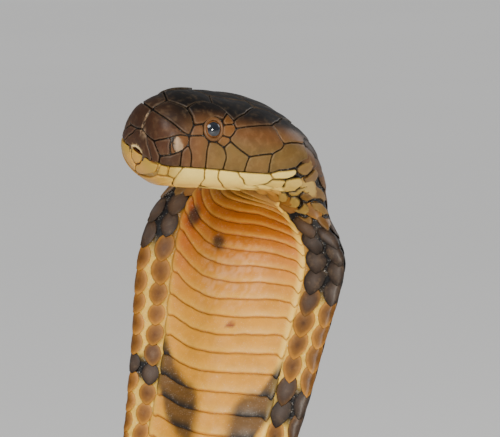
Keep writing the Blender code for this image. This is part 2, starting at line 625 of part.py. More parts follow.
for word, side in (("left", 1), ("right", -1)):
    eye = (EYE_PLACE, EYE_SIDE)
    cut(head, ball("socket", eye, side, EYE_SUNK, [EYE_RADIUS + GAP] * 3, HORN, cutters))
    ball("eye_" + word, eye, side, EYE_SUNK, [EYE_RADIUS] * 3, EYE)
    cut(head, ball("nostril", (NOSTRIL_PLACE, NOSTRIL_SIDE), side, 0, (NOSTRIL_WIDE, NOSTRIL_TALL, NOSTRIL_DEEP),
                   HORN, cutters))

# Body

RAISED_ROUND, FLOOR_ROUND = 24, 18
SCUTE_PITCH = 8.4
SCUTE_STEP = 0.7                                        # how far a scute's rear edge stands over the next one
SCUTE_BOW = 7.0                                         # how far its ends run up towards the head
SCUTE_REACH = 0.72                                      # share of the belly that the scutes span, in q
LENGTHS = [("hood", HEAD_END, 176), ("neck", 176, 286), ("rise", 286, 390), ("foot_bend", 390, 500)]
COILS = 10
COILS_START = 500.0
coil = (VENT - COILS_START) / COILS
LENGTHS += [("coil_%d" % (i + 1), COILS_START + coil * i, COILS_START + coil * (i + 1)) for i in range(COILS)]
LENGTHS += [("tail_base", VENT, 2810), ("tail_tip", 2810, LENGTH)]


def scute_rings(start, end):
    """Rings of a raised length, two at each belly scute's edge, so that the scutes overlap like shingles."""
    q = np.arange(RAISED_ROUND) * 4 / RAISED_ROUND
    belly_share = np.clip((SCUTE_REACH - np.abs(q - 2)) / 0.22, 0, 1)
    count = int(round((end - start) / SCUTE_PITCH))
    rings = [skin(start, q)]
    for i in range(1, count):
        edge = start + (end - start) * i / count
        bow = SCUTE_BOW * min(1, 0.12 * (edge - start), 0.12 * (end - edge)) * (np.abs(q - 2) / SCUTE_REACH) ** 2
        bow = np.where(belly_share > 0, bow, 0)
        for behind, raised in ((-0.3, SCUTE_STEP), (0.3, 0)):
            place = edge + behind - bow
            ring = skin(place, q)
            _, left, back = axes_at(place)
            rings.append(ring - back * (raised * belly_share)[:, None])
    return rings + [skin(end, q)]


for name, start, end in LENGTHS:
    front = start + GAP / 2
    rear = end - GAP / 2 if end < LENGTH else LENGTH - 0.5
    if end <= 390:
        rings = scute_rings(front, rear)
    else:
        around = RAISED_ROUND if end <= COILS_START else FLOOR_ROUND
        q = (np.arange(around) + 0.5) * 4 / around
        rings = [skin(s, q) for s in spaced(front, rear, 11 if end <= COILS_START else 20)]
    solid(name, rings_to_mesh(rings), SKIN)
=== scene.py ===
"""A king cobra, life size and still, reared up with its hood spread, dressed over its solid model.

Sizes are in millimetres until a mesh is made.  A place on the animal is s, its length back from the
snout, and q, a quarter count round the body: 0 on the back, 1 on the snake's left, 2 on the belly and
3 or -1 on its right.
"""
import math

import bpy
import numpy as np
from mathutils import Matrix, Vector
from mathutils.geometry import delaunay_2d_cdt


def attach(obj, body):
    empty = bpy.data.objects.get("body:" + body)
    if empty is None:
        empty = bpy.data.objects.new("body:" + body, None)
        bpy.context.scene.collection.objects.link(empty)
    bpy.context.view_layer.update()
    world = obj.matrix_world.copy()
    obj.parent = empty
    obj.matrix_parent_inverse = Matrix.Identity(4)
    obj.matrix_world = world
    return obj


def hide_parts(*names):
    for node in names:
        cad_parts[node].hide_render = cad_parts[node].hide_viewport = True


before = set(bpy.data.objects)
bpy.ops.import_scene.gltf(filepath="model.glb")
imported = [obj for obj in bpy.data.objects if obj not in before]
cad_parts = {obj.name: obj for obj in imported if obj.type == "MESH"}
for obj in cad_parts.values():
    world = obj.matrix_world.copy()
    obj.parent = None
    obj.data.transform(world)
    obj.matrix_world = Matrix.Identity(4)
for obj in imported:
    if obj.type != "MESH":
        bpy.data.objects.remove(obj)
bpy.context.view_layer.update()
MM = 0.001

# Camera
# It stands 1.3 m in front of the hood and a little above it, and looks down by 7 degrees.  The long lens
# keeps the framing of a head-and-hood portrait.

HOOD_HEIGHT = 365.0
CENTRE = (-2.65, -35.47)  # where the hood's middle stands, from the middle of the whole animal
CAMERA_FALL = math.radians(7)
CAMERA_AWAY, CAMERA_ASIDE, CAMERA_RAISED = 1.3, 0.00296, 0.01166
hood_middle = Vector((CENTRE[0] * MM, CENTRE[1] * MM, HOOD_HEIGHT * MM))
looking = Vector((0, math.cos(CAMERA_FALL), -math.sin(CAMERA_FALL)))
upright = Vector((0, math.sin(CAMERA_FALL), math.cos(CAMERA_FALL)))
camera_place = hood_middle - looking * CAMERA_AWAY + Vector((CAMERA_ASIDE, 0, 0)) + upright * CAMERA_RAISED
bpy.ops.object.camera_add(location=camera_place, rotation=looking.to_track_quat("-Z", "Y").to_euler())
camera = bpy.context.object
camera.data.lens, camera.data.sensor_width = 253, 36
camera.data.clip_start, camera.data.clip_end = 0.05, 60
bpy.context.scene.camera = camera

# Floor and studio light
# A wide, plain, pale floor under soft lamps: a key from beside the camera's right, a fill from its left, one
# from behind that draws the animal's outline, and a broad, even light from the ceiling.


class Shade:
    """One socket of a material's nodes.  Sums on it add Math nodes, and node() adds any other kind."""

    def __init__(self, tree, socket=None):
        self.tree, self.socket = tree, socket

    def node(self, kind, settings=None, inputs=None, output=0):
        made = self.tree.nodes.new("ShaderNode" + kind)
        for name, value in (settings or {}).items():
            if name == "stops":
                elements = made.color_ramp.elements
                while len(elements) < len(value):
                    elements.new(0.5)
                for element, (place, colour) in zip(elements, value):
                    element.position, element.color = place, (*colour, 1)
            else:
                setattr(made, name, value)
        for name, value in (inputs or {}).items():
            if isinstance(value, Shade):
                self.tree.links.new(value.socket, made.inputs[name])
            else:
                made.inputs[name].default_value = value
        return Shade(self.tree, made.outputs[output])

    def math(self, operation, first, second):
        return self.node("Math", {"operation": operation}, {0: first, 1: second})

    def __add__(self, other):
        return self.math("ADD", self, other)

    def __sub__(self, other):
        return self.math("SUBTRACT", self, other)

    def __rsub__(self, other):
        return self.math("SUBTRACT", other, self)

    def __mul__(self, other):
        return self.math("MULTIPLY", self, other)

    __radd__, __rmul__ = __add__, __mul__

    def clamped(self):
        return self.node("Clamp", None, {"Value": self})

    def mixed(self, first, second):
        """Two colours, mixed by this share of the second."""
        return self.node("Mix", {"data_type": "RGBA"}, {0: self, 6: first, 7: second}, 2)


def paint(red, green, blue):
    """A colour given in everyday 0 to 255 steps, as light."""
    value = np.array([red, green, blue]) / 255
    return np.where(value > 0.04045, ((value + 0.055) / 1.055) ** 2.4, value / 12.92)


def new_material(name):
    """An empty material: its surface shader's inputs, and a Shade to build the rest from."""
    material = bpy.data.materials.new(name)
    material.use_nodes = True
    tree = material.node_tree
    return material, tree.nodes["Principled BSDF"].inputs, Shade(tree)


def joined(shade, socket):
    """Links a shade's socket into a surface shader's input."""
    shade.tree.links.new(shade.socket, socket)


def deselect():
    bpy.ops.object.select_all(action="DESELECT")


FLOOR_SIZE = 40
deselect()
bpy.ops.mesh.primitive_plane_add(size=FLOOR_SIZE, location=(0, 0, -0.0002))
floor = bpy.context.object
floor.name = "floor"
floor_paint, surface, shade = new_material("pale floor")
where = shade.node("TexCoord", output=3)
cloudy = shade.node("TexNoise", None, {"Vector": where, "Scale": 1.2, "Detail": 3})
joined(cloudy.mixed((0.86, 0.85, 0.83, 1), (0.91, 0.90, 0.88, 1)), surface["Base Color"])
surface["Roughness"].default_value = 0.75
floor.data.materials.append(floor_paint)


def soft_lamp(name, at, size, watts, tint):
    deselect()
    turn = (hood_middle - Vector(at)).to_track_quat("-Z", "Y").to_euler()
    bpy.ops.object.light_add(type="AREA", location=at, rotation=turn)
    lamp = bpy.context.object
    lamp.name = name
    lamp.data.shape, lamp.data.size = "DISK", size
    lamp.data.energy, lamp.data.color = watts, tint


soft_lamp("key_lamp", (0.5, -1.55, 0.62), 0.35, 23, (1.0, 0.95, 0.85))
soft_lamp("fill_lamp", (-1.6, -1.2, 0.6), 1.2, 3, (0.93, 0.96, 1.0))
soft_lamp("rim_lamp", (1.3, 1.2, 1.0), 0.8, 5, (1.0, 1.0, 1.0))
deselect()
bpy.ops.object.light_add(type="SUN", rotation=(math.radians(38), math.radians(-22), 0))
sun = bpy.context.object
sun.name = "ceiling_light"
sun.data.energy, sun.data.angle = 1.9, 0.6
world = bpy.data.worlds.new("studio air")
world.use_nodes = True
world.node_tree.nodes["Background"].inputs[0].default_value = (0.80, 0.82, 0.85, 1)
world.node_tree.nodes["Background"].inputs[1].default_value = 0.30
bpy.context.scene.world = world

# Skin
# The living skin between the scales: thin, dry and finely creased, cream on the spread hood and black
# across its bands.  It is one tube drawn along the animal's middle line, sunk a little so that the
# scales lie on it.


def unit(vector):
    vector = np.asarray(vector, float)
    return vector / np.maximum(np.linalg.norm(vector, axis=-1, keepdims=True), 1e-12)


def through(keys, at):
    """A fair curve through (place, value) keys that never overshoots them."""
    x, y = np.array(keys, float).T
    step = np.diff(x)
    rise = np.diff(y) / step
    same = rise[:-1] * rise[1:] > 0
    w0 = 2 * step[1:] + step[:-1]
    w1 = step[1:] + 2 * step[:-1]
    slope = (w0 + w1) / (w0 / np.where(same, rise[:-1], 1) + w1 / np.where(same, rise[1:], 1))
    lean = np.concatenate([rise[:1], np.where(same, slope, 0.0), rise[-1:]])
    at = np.clip(np.asarray(at, float), x[0], x[-1])
    i = np.clip(np.searchsorted(x, at, side="right") - 1, 0, len(step) - 1)
    t = (at - x[i]) / step[i]
    return (y[i] * (1 + 2 * t) * (1 - t) ** 2 + y[i + 1] * t * t * (3 - 2 * t)
            + step[i] * t * (1 - t) * (lean[i] * (1 - t) - lean[i + 1] * t))


def smooth_line(points, count):
    """Points along a natural cubic spline through the given rows, evenly spaced in its parameter."""
    rows = np.array(points, float)
    n = len(rows)
    chord = np.concatenate([[0], np.cumsum(np.linalg.norm(np.diff(rows, axis=0), axis=1) ** 0.5)])
    h = np.diff(chord)
    matrix = np.eye(n)
    right = np.zeros_like(rows)
    for i in range(1, n - 1):
        matrix[i, i - 1:i + 2] = h[i - 1], 2 * (h[i - 1] + h[i]), h[i]
        right[i] = 6 * ((rows[i + 1] - rows[i]) / h[i] - (rows[i] - rows[i - 1]) / h[i - 1])
    m = np.linalg.solve(matrix, right)
    u = np.linspace(0, chord[-1], count)
    i = np.clip(np.searchsorted(chord, u, side="right") - 1, 0, n - 2)
    a, b, k = (chord[i + 1] - u)[:, None], (u - chord[i])[:, None], h[i][:, None]
    return ((m[i] * a ** 3 + m[i + 1] * b ** 3) / (6 * k) + (rows[i] / k - m[i] * k / 6) * a
            + (rows[i + 1] / k - m[i + 1] * k / 6) * b)


FLAT = 1.0  # how far the belly is pressed flat on the floor
LIES_FROM = 400  # behind this length the animal may rest on the floor
LET_DOWN_FROM, LET_DOWN_AT = 430, 520  # between these it comes down from the foot's bend to lie flat
HEAD_TURN, HEAD_TILT, HEAD_LIFT, HOOD_TURN = map(math.radians, (36, 17, 3.5, 16))
ahead = np.array([-math.cos(HEAD_TURN) * math.cos(HEAD_LIFT), -math.sin(HEAD_TURN) * math.cos(HEAD_LIFT),
                  math.sin(HEAD_LIFT)])
level_left = unit(np.cross([0, 0, 1], ahead))
level_up = np.cross(ahead, level_left)
head_left = level_left * math.cos(HEAD_TILT) - level_up * math.sin(HEAD_TILT)
head_up = level_up * math.cos(HEAD_TILT) + level_left * math.sin(HEAD_TILT)
belly = np.array([-math.sin(HOOD_TURN), -math.cos(HOOD_TURN), 0.0])
hood_left = np.array([math.cos(HOOD_TURN), -math.sin(HOOD_TURN), 0.0])
SNOUT = np.array([-37.4, -40.0, 41.0 + HOOD_HEIGHT])  # the notch for the tongue, at the front of the lips


def in_head(back, left, up):
    """A place in the head: millimetres back from the notch, to the snake's left, and up from the lips."""
    return SNOUT - ahead * back + head_left * left + head_up * up


# The middle line's places, where the back faces, and how far the sides have turned to the hood's
RAISED = [
    (in_head(0, 0, 0), head_up, 0), (in_head(12, 0, 0), head_up, 0), (in_head(24, 0, 0), head_up, 0),
    (in_head(36, 0, 0), head_up, 0), (in_head(47, 0, 0), head_up, 0),
    (in_head(57, -1.5, -3), head_up - 0.3 * ahead, 0.05),
    (in_head(64, -5.5, -11), head_up - 0.9 * ahead, 0.25),
    (in_head(65, -11, -22), -0.8 * ahead + 0.2 * head_up - 0.4 * belly, 0.5),
    ((2, 4, HOOD_HEIGHT + 4), -0.6 * belly - 0.4 * ahead, 0.8),
    ((0, 1, HOOD_HEIGHT - 10), -0.8 * belly - 0.2 * ahead, 0.95),
    ((-4, -4, HOOD_HEIGHT - 32), -belly, 1), ((-7.8, -9, HOOD_HEIGHT - 52), -belly, 1),
    ((-12.5, -14, HOOD_HEIGHT - 74), -belly, 1), ((-20.5, -21, HOOD_HEIGHT - 120), -belly, 1),
    ((-24, -22, 185), -belly, 1), ((-24, -17, 120), (0.2, 1, 0.1), 1), ((-22, -8, 80), (0.1, 0.9, 0.4), 1),
    ((-19, 25, 39), (0.05, 0.5, 0.9), 1), ((-13, 82, 22), (0, 0.1, 1), 1)]
ON_FLOOR = [
    (0, 136), (42, 176), (104, 179), (158, 140), (181, 70), (172, -8), (125, -72), (45, -108),
    (-48, -116), (-130, -92), (-184, -30), (-196, 52), (-165, 135), (-95, 200), (0, 238), (100, 252),
    (187, 228), (243, 158), (262, 70), (248, -20), (205, -98), (135, -152), (45, -183), (-60, -190),
    (-160, -176), (-232, -128), (-268, -52), (-272, 40), (-248, 128), (-200, 190)]

FLOOR_MIDDLE = 24  # a first height for the lying part's middle line, and its back faces up
rows = []
for place, back, turn in RAISED:
    left = unit(head_left * (1 - turn) + hood_left * turn)
    rows.append(np.concatenate([np.add(place, (*CENTRE, 0)), unit(back), left]))
for x, y in ON_FLOOR:
    rows.append(np.array([x + CENTRE[0], y + CENTRE[1], FLOOR_MIDDLE, 0, 0, 1, 0, 0, 0]))
line = smooth_line(rows, 16000)

LENGTH = 3080.0
VENT = 2560.0  # where the tail begins
# By length: half the width, the height over the middle line and the depth under it
WIDE = [
    (0, 15.2), (6, 15.2), (10, 15.6), (16, 16.6), (24, 18.2), (34, 20.8), (46, 22.8), (56, 23.4),
    (66, 24.2), (74, 28), (84, 34.3), (94, 38.7), (106, 40.3), (118, 39.4), (136, 36.8), (157, 34.4),
    (180, 31.7), (227, 27.5), (270, 24.5), (330, 23), (450, 23), (700, 25), (1200, 28), (1700, 28),
    (2150, 25), (2450, 20.5), (2600, 16.5), (2800, 10.5), (3000, 4.6), (LENGTH, 1.6)]
TALL = [
    (0, 17.2), (4, 17.8), (8, 19.2), (12, 20.8), (17, 21.7), (24, 21.3), (34, 20.1), (46, 18.5),
    (58, 16.7), (68, 15.5), (80, 15), (120, 15), (150, 14.5), (200, 15), (260, 18), (330, 20.5),
    (450, 21), (700, 23), (1200, 26), (1700, 26), (2150, 23), (2450, 19), (2600, 15.5), (2800, 10),
    (3000, 4.6), (LENGTH, 1.6)]
DEEP = [
    (0, 9.5), (6, 10.5), (16, 11), (24, 11), (36, 10.8), (48, 10.3), (58, 9.8), (68, 9.5), (80, 11),
    (95, 13), (120, 15), (150, 15.5), (200, 16), (260, 17), (330, 19), (450, 19.5), (700, 21),
    (1200, 24), (1700, 24), (2150, 21), (2450, 17), (2600, 14), (2800, 9), (3000, 4.4), (LENGTH, 1.8)]
# How square the back is across, how far the hood's flaps are thinned, and how far they curl to the belly
SQUARE = [(0, 2.3), (16, 2.6), (34, 2.8), (58, 2.6), (80, 2.2), (LENGTH, 2.1)]
FLAP = [(0, 0), (62, 0), (84, 0.6), (104, 1), (170, 1), (230, 0.6), (300, 0)]
CURL = [(0, 0), (70, 0), (100, 5), (170, 5), (240, 2), (300, 0)]
NOSE, BLUNT = 9, 3.5  # length of the rounded snout, and how square its front is
JAW_BACK = 0.4  # the lower jaw's front, behind the upper lip's
JAW_SQUARE = 2.4  # how square the lower jaw and the belly are across
JAW_CORNER = 61.0  # where the line of the mouth ends

middle = line[:, :3].copy()
# The lying part is let down until its belly is pressed flat
for _ in range(3):
    along = np.concatenate([[0], np.cumsum(np.linalg.norm(np.diff(middle, axis=0), axis=1))])
    lying = np.clip((along - LET_DOWN_FROM) / (LET_DOWN_AT - LET_DOWN_FROM), 0, 1)
    lying = lying ** 2 * (3 - 2 * lying)
    middle[:, 2] = line[:, 2] * (1 - lying) + (through(DEEP, along) - FLAT) * lying
along *= LENGTH / along[-1]


def sample(table, s):
    return np.stack([np.interp(s, along, table[:, i]) for i in range(table.shape[1])], -1)


def axes_at(s):
    """The middle line's place at s, and the unit vectors to the snake's left and to its back."""
    s = np.asarray(s, float)
    tailward = unit(sample(middle, s + 0.4) - sample(middle, s - 0.4))
    back = sample(line[:, 3:6], s)
    free_left = unit(np.cross(tailward, back))
    held_left = unit(sample(line[:, 6:9], s))
    free = np.clip((s - 120) / 60, 0, 1)[..., None]
    left = unit(held_left * (1 - free) + free_left * free)
    held_back = unit(back - left * (back * left).sum(-1, keepdims=True))
    free_back = unit(np.cross(left, tailward))
    return sample(middle, s), left, unit(held_back * (1 - free) + free_back * free)


def snout_taper(s):
    return (1 - np.clip(1 - s / NOSE, 0, 1) ** BLUNT) ** (1 / BLUNT)


def section(s, q):
    """Sideways and upward offsets of the animal's outer form from its middle line."""
    angle = q * math.pi / 2
    cosine, sine = np.cos(angle), np.sin(angle)
    square = through(SQUARE, s)
    wide = through(WIDE, s) * snout_taper(s)
    aside = wide * np.sign(sine) * np.abs(sine) ** (2 / square)
    over = through(TALL, s) * snout_taper(s) * np.abs(cosine) ** (2 / square)
    out = np.clip(np.abs(aside) / np.maximum(wide, 1e-6), 0, 1)
    round_belly = np.abs(cosine) ** (2 / JAW_SQUARE)
    hood_belly = np.sqrt(1 - out ** 2.5) * (0.36 + 0.64 * np.exp(-1.6 * (out / 0.52) ** 2))
    flap = through(FLAP, s)
    under = -through(DEEP, s) * snout_taper(s - JAW_BACK) * (round_belly * (1 - flap) + hood_belly * flap)
    return aside, np.where(cosine >= 0, over, under) - through(CURL, s) * out ** 2


def form(s, q):
    """Points on the animal's outer form."""
    s, q = np.broadcast_arrays(np.asarray(s, float), np.asarray(q, float))
    place, left, back = axes_at(s)
    aside, up = section(s, q)
    point = place + left * aside[..., None] + back * up[..., None]
    point[..., 2] = np.where(s > LIES_FROM, np.maximum(point[..., 2], 0.0), point[..., 2])
    return point


COAT_DEPTH = 0.6  # the lift of the layer that touches the floor; deeper ones stay above it


def over(s, q, lift):
    """Points raised over that form, or sunk in it by a lift below nought, and none under the floor."""
    s, q = np.broadcast_arrays(np.asarray(s, float), np.asarray(q, float))
    across = form(s, q + 0.01) - form(s, q - 0.01)
    onward = form(s + 0.2, q) - form(np.maximum(s - 0.2, 0), q)
    point = form(s, q) + unit(np.cross(across, onward)) * np.asarray(lift)[..., None]
    above_floor = np.where(s > LIES_FROM, np.clip(COAT_DEPTH - np.asarray(lift), 0, 3), 0.0)
    point[..., 2] = np.maximum(point[..., 2], above_floor)
    return point


def step_up(value, start, end):
    """0 before the start, 1 after the end, and smooth between."""
    share = np.clip((value - start) / (end - start), 0, 1)
    return share * share * (3 - 2 * share)


def hump(value, middle_at, half_width, soft):
    return 1 - step_up(np.abs(value - middle_at), half_width - soft, half_width + soft)


def mix(first, second, share):
    return first + (second - first) * np.asarray(share)[..., None]


REACH = [(0, 0.42), (150, 0.42), (270, 0.66), (LENGTH, 0.66)]  # half the belly scutes' width, in q
LIGHT_BAND_STEP, LIGHT_BAND_HALF = 62.0, 6.5  # pale bands down the lying body


def darkness(s, side):
    """How far the dark cross bands colour a place; side is 1 on the snake's left, -1 on its right."""
    first = step_up(s, 73 + 3 * side, 79 + 3 * side) * (1 - step_up(s, 108 + 9 * side, 116 + 9 * side))
    second = hump(s, 154 + 4.5 * side, 6 + side, 2)
    uneven = step_up(s, 240, 400)
    phase = s - 201 + 5 * uneven * np.sin(s / 83) + 4 * np.abs(side)
    phase = np.mod(phase, LIGHT_BAND_STEP) - LIGHT_BAND_STEP / 2
    band_half = LIGHT_BAND_HALF + 1.8 * uneven * np.sin(s / 47)
    below = step_up(np.abs(phase), band_half, band_half + 5) * step_up(s, 196, 204)
    return np.maximum(np.maximum(first, second), below)


def rounded(q):
    """q as a signed count from the back: 0 to 2 on the snake's left, 0 to -2 on its right."""
    return np.mod(np.asarray(q) + 2, 4) - 2


CREAM_SKIN, BLACK_SKIN = paint(222, 178, 70), paint(14, 12, 13)
ORANGE_SKIN, BROWN_SKIN, GROOVE_SKIN = paint(184, 104, 28), paint(66, 44, 22), paint(14, 9, 7)
MOUTH_SKIN, BODY_SKIN = paint(92, 42, 34), paint(120, 98, 58)
LIP_CREAM, LIP_BROWN = paint(246, 214, 112), paint(120, 76, 26)


def skin_colour(s, q):
    turn = rounded(q)
    aside = np.abs(turn)
    dark = darkness(s, np.clip(np.sin(turn * math.pi / 2), -1, 1))
    colour = mix(CREAM_SKIN, BLACK_SKIN, dark)
    back = (1 - step_up(aside, 0.55, 0.95)) * (1 - 0.35 * hump(s, 135, 28, 14))
    colour = mix(colour, mix(BROWN_SKIN, BLACK_SKIN, dark), back)
    hood_front = mix(CREAM_SKIN, ORANGE_SKIN, 0.5 * hump(s, 100, 40, 15))
    colour = mix(colour, hood_front, step_up(aside, 1.5, 1.62))
    body = step_up(s, 190, 300) * (1 - step_up(aside, 1.2, 1.4))
    colour = mix(colour, mix(BODY_SKIN, BLACK_SKIN, dark), body)
    throat = (1 - step_up(s, 66, 82)) * step_up(aside, 1.0, 1.1)
    colour = mix(colour, mix(LIP_CREAM, LIP_BROWN, 0.75), throat)
    colour = mix(colour, GROOVE_SKIN, hump(s, 69, 20, 3) * hump(aside, 1.15, 0.5, 0.06))
    head = (1 - step_up(s, 58, 64)) * (1 - step_up(aside, 0.98, 1.02))
    colour = mix(colour, GROOVE_SKIN, head)
    front = (1 - step_up(s, 0.6, 1.3)) * step_up(aside, 0.9, 1.0)
    return mix(colour, MOUTH_SKIN, front * 0.9)


AROUND = 128  # the skin's points round the body
SKIN_DEPTH = 0.5  # how far the skin lies under the outer form
MOUTH_DEPTH, MOUTH_GAP = 1.3, 0.5  # how deep and how wide the line of the mouth is drawn in it
ring_places = np.concatenate([
    [0.02, 0.12, 0.3], np.arange(0.6, 9, 0.5), np.arange(9, 74, 1.0), np.arange(74, 200, 2.0),
    np.arange(200, 500, 4.0), np.arange(500, LENGTH - 6, 8.0), [LENGTH - 3, LENGTH - 1]])
# The skin's length on its map, most of it for the front
UNWRAP = [(0, 0.002), (74, 0.1), (300, 0.25), (LENGTH, 0.998)]


def unwrapped(s, q):
    """A place's spot on the skin's own flat map."""
    return np.stack([0.01 + 0.98 * np.mod(q, 4) / 4, np.interp(s, *np.array(UNWRAP).T)], -1)


def new_tones(mesh, colours):
    """Keeps a colour for each point, which the finishes read."""
    tone = mesh.attributes.new("tone", "FLOAT_COLOR", "POINT")
    opaque = np.column_stack([colours, np.ones(len(colours))])
    tone.data.foreach_set("color", opaque.ravel().astype(np.float32))


deselect()
bpy.ops.mesh.primitive_grid_add(x_subdivisions=AROUND, y_subdivisions=len(ring_places) - 1, size=2)
skin = bpy.context.object
skin.name = "skin"
turns = np.linspace(0, 4, AROUND + 1)
turns = turns + 0.55 * np.sin(math.pi * turns) / math.pi  # the rings' points are closest along the lips
grid_s, grid_q = np.repeat(ring_places, AROUND + 1), np.tile(turns, len(ring_places))
from_lips = np.abs(section(grid_s, grid_q)[1])
lips = (1 - step_up(grid_s, JAW_CORNER - 4, JAW_CORNER)) * step_up(grid_s, 0.3, 2)
at_side = np.abs(np.cos(grid_q * math.pi / 2)) < 0.5
mouth_line = MOUTH_DEPTH * np.exp(-(from_lips / MOUTH_GAP) ** 2) * lips * at_side
skin_points = over(grid_s, grid_q, -SKIN_DEPTH - mouth_line)
skin.data.vertices.foreach_set("co", (skin_points * MM).ravel())
new_tones(skin.data, mix(skin_colour(grid_s, grid_q), GROOVE_SKIN, np.clip(mouth_line, 0, 1)))
skin_map = unwrapped(grid_s, np.clip(grid_q, 0, 3.9999))
corner_vertex = np.empty(len(skin.data.loops), int)
skin.data.loops.foreach_get("vertex_index", corner_vertex)
skin.data.uv_layers[0].name = "OFBake"
skin.data.uv_layers[0].data.foreach_set("uv", skin_map[corner_vertex].ravel())
bpy.ops.object.mode_set(mode="EDIT")
bpy.ops.mesh.select_all(action="SELECT")
bpy.ops.mesh.remove_doubles(threshold=1e-6)
bpy.ops.mesh.select_all(action="DESELECT")
bpy.ops.mesh.select_non_manifold()
bpy.ops.mesh.fill_holes(sides=0)
bpy.ops.mesh.select_all(action="SELECT")
bpy.ops.mesh.normals_make_consistent(inside=False)
bpy.ops.object.mode_set(mode="OBJECT")
bpy.ops.object.shade_smooth()


def scale_finish(name, roughness, mottle, crease, coat, granules=0.0):
    """Dry, smooth keratin: its tone, mottled softly, with fine creases, and pale granules where asked."""
    material, surface, shade = new_material(name)
    where = shade.node("TexCoord", output=3)
    tone = shade.node("Attribute", {"attribute_name": "tone"})
    wide, broad, fine = [
        shade.node("TexNoise", None, {"Vector": where, "Scale": scale, "Detail": detail, "Roughness": rough})
        for scale, detail, rough in ((130, 2, 0.5), (420, 3, 0.6), (1700, 4, 0.65))]
    uneven = (wide - 0.5) * (3 * mottle) + (broad - 0.5) * (2 * mottle) + (fine - 0.5) * mottle + 0.97
    uneven = uneven.clamped()
    brighter = (broad * 2 - 1.05).clamped() * mottle * 0.6
    grey = shade.node("CombineColor", None, {0: uneven, 1: uneven, 2: uneven})
    darkened = {"data_type": "RGBA", "blend_type": "MULTIPLY"}
    colour = shade.node("Mix", darkened, {0: 1.0, 6: tone, 7: grey}, 2)
    colour = brighter.mixed(colour, (0.70, 0.46, 0.24, 1))
    if granules:
        spots = shade.node("TexVoronoi", None, {"Vector": where, "Scale": 1500})
        pale = ((0.34 - spots) * 6).clamped() * (broad * 3 - 1.2).clamped() * granules
        colour = pale.mixed(colour, (0.55, 0.52, 0.47, 1))
    joined(colour, surface["Base Color"])
    joined((fine - 0.5) * 0.22 + roughness, surface["Roughness"])
    cracked = {"Vector": where, "Scale": 900, "Smoothness": 0.4}
    height = shade.node("TexVoronoi", {"feature": "SMOOTH_F1"}, cracked) * crease + fine * (crease * 0.8)
    bump = shade.node("Bump", None, {"Strength": 0.5, "Distance": 0.0003, "Height": height})
    joined(bump, surface["Normal"])
    surface["Coat Weight"].default_value = coat
    surface["Coat Roughness"].default_value = 0.28
    surface["Specular IOR Level"].default_value = 0.22
    surface["Subsurface Weight"].default_value = 0.06
    surface["Subsurface Radius"].default_value = (0.003, 0.0015, 0.0008)
    return material


skin.data.materials.clear()
skin.data.materials.append(scale_finish("living skin", 0.5, 0.25, 0.9, 0.1, granules=0.8))
coils = [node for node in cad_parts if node.startswith("coil_")]
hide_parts("head", "lower_jaw", "hood", "neck", "rise", "foot_bend", *coils, "tail_base", "tail_tip")
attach(skin, "root")

# Head shields
# The large symmetrical plates of keratin on the snout, crown, cheeks and upper lips.  Each is a smooth,
# slightly crowned plate grown on the head's skin, parted from the next by a narrow black groove.

# A corner of the left side is its s and its q
CORNERS = {
    "midline_1": (2.6, 0), "midline_2": (8, 0), "midline_3": (25.5, 0), "midline_4": (43.5, 0),
    "midline_5": (58, 0), "nasal_top": (4.4, 0.645), "nostril_back": (6.8, 0.63),
    "nostril_front": (3.6, 0.75), "nasal_low": (4.2, 0.88), "nasal_lip": (1.45, 0.9),
    "postnasal_top": (10.6, 0.68), "postnasal_rear": (10.5, 0.79), "postnasal_low": (8.2, 0.845),
    "nasal_front_a": (4.1, 0.34), "nasal_front_b": (5.8, 0.47), "nasal_front_c": (8, 0.6),
    "brow_front_low": (12.4, 0.55), "brow_front": (12.3, 0.42), "brow_top": (11.6, 0.26),
    "frontal_front": (10, 0.15), "frontal_a": (15.5, 0.2), "frontal_b": (19.5, 0.165),
    "frontal_rear": (22.5, 0.185), "brow_rear_top": (24.8, 0.235), "brow_rear": (26.8, 0.34),
    "eye_front_top": (15.9, 0.545), "eye_front_low": (16.1, 0.695), "eye_low": (18.2, 0.765),
    "eye_rear_low": (20.9, 0.765), "eye_rear": (23.1, 0.68), "eye_rear_top": (24, 0.535),
    "eye_top_rear": (24, 0.465), "eye_top": (21.2, 0.435), "eye_top_front": (17.8, 0.495),
    "behind_a": (28.3, 0.455), "behind_b": (28.1, 0.5), "behind_c": (27.5, 0.64),
    "behind_d": (26.1, 0.7), "under_eye": (24.1, 0.82), "temple_front": (28.7, 0.56),
    "temple_low": (26.3, 0.745), "temple_top": (44.8, 0.405), "temple_side": (46, 0.49),
    "temple_rear": (47.9, 0.665), "temple_notch": (46.8, 0.74), "temple_lip": (43.2, 0.82),
    "temple_mid": (34, 0.885), "crown_side": (35, 0.27), "crown_rear": (43, 0.09), "nape_a": (48, 0.1),
    "nape_b": (51.8, 0.195), "nape_c": (48.8, 0.3), "nape_d": (58, 0.12), "cheek_top": (59, 0.29),
    "cheek_mid": (58, 0.4), "cheek_low": (56.3, 0.545), "jaw_a": (57.6, 0.65), "jaw_b": (58.2, 0.74),
    "jaw_c": (54, 0.905), "lip_bend_2": (12.2, 0.9), "lip_bend_3": (17.8, 0.86),
    "lip_bend_4": (25.6, 0.91), "lip_0": (1.5, 1), "lip_1": (8.6, 1), "lip_2": (12.9, 1),
    "lip_3": (18.5, 1), "lip_4": (25.2, 1), "lip_5": (33.2, 1), "lip_6": (42.7, 1),
    "lip_7": (50.5, 0.955)}
# A corner of the snout's front is millimetres to the left of its middle, and up from the lips
FRONT_CORNERS = {
    "tip_top": (0, 8.2), "tip_side_a": (3.4, 7.3), "tip_side_b": (5.2, 4.6), "tip_side_c": (7.3, 2.9),
    "tip_lip": (9.4, 0), "mouth_notch": (3.1, 0), "mouth_arch": (2.0, 0.6), "mouth_top": (0, 0.8),
    "nasal_front": (7.8, 6.8)}
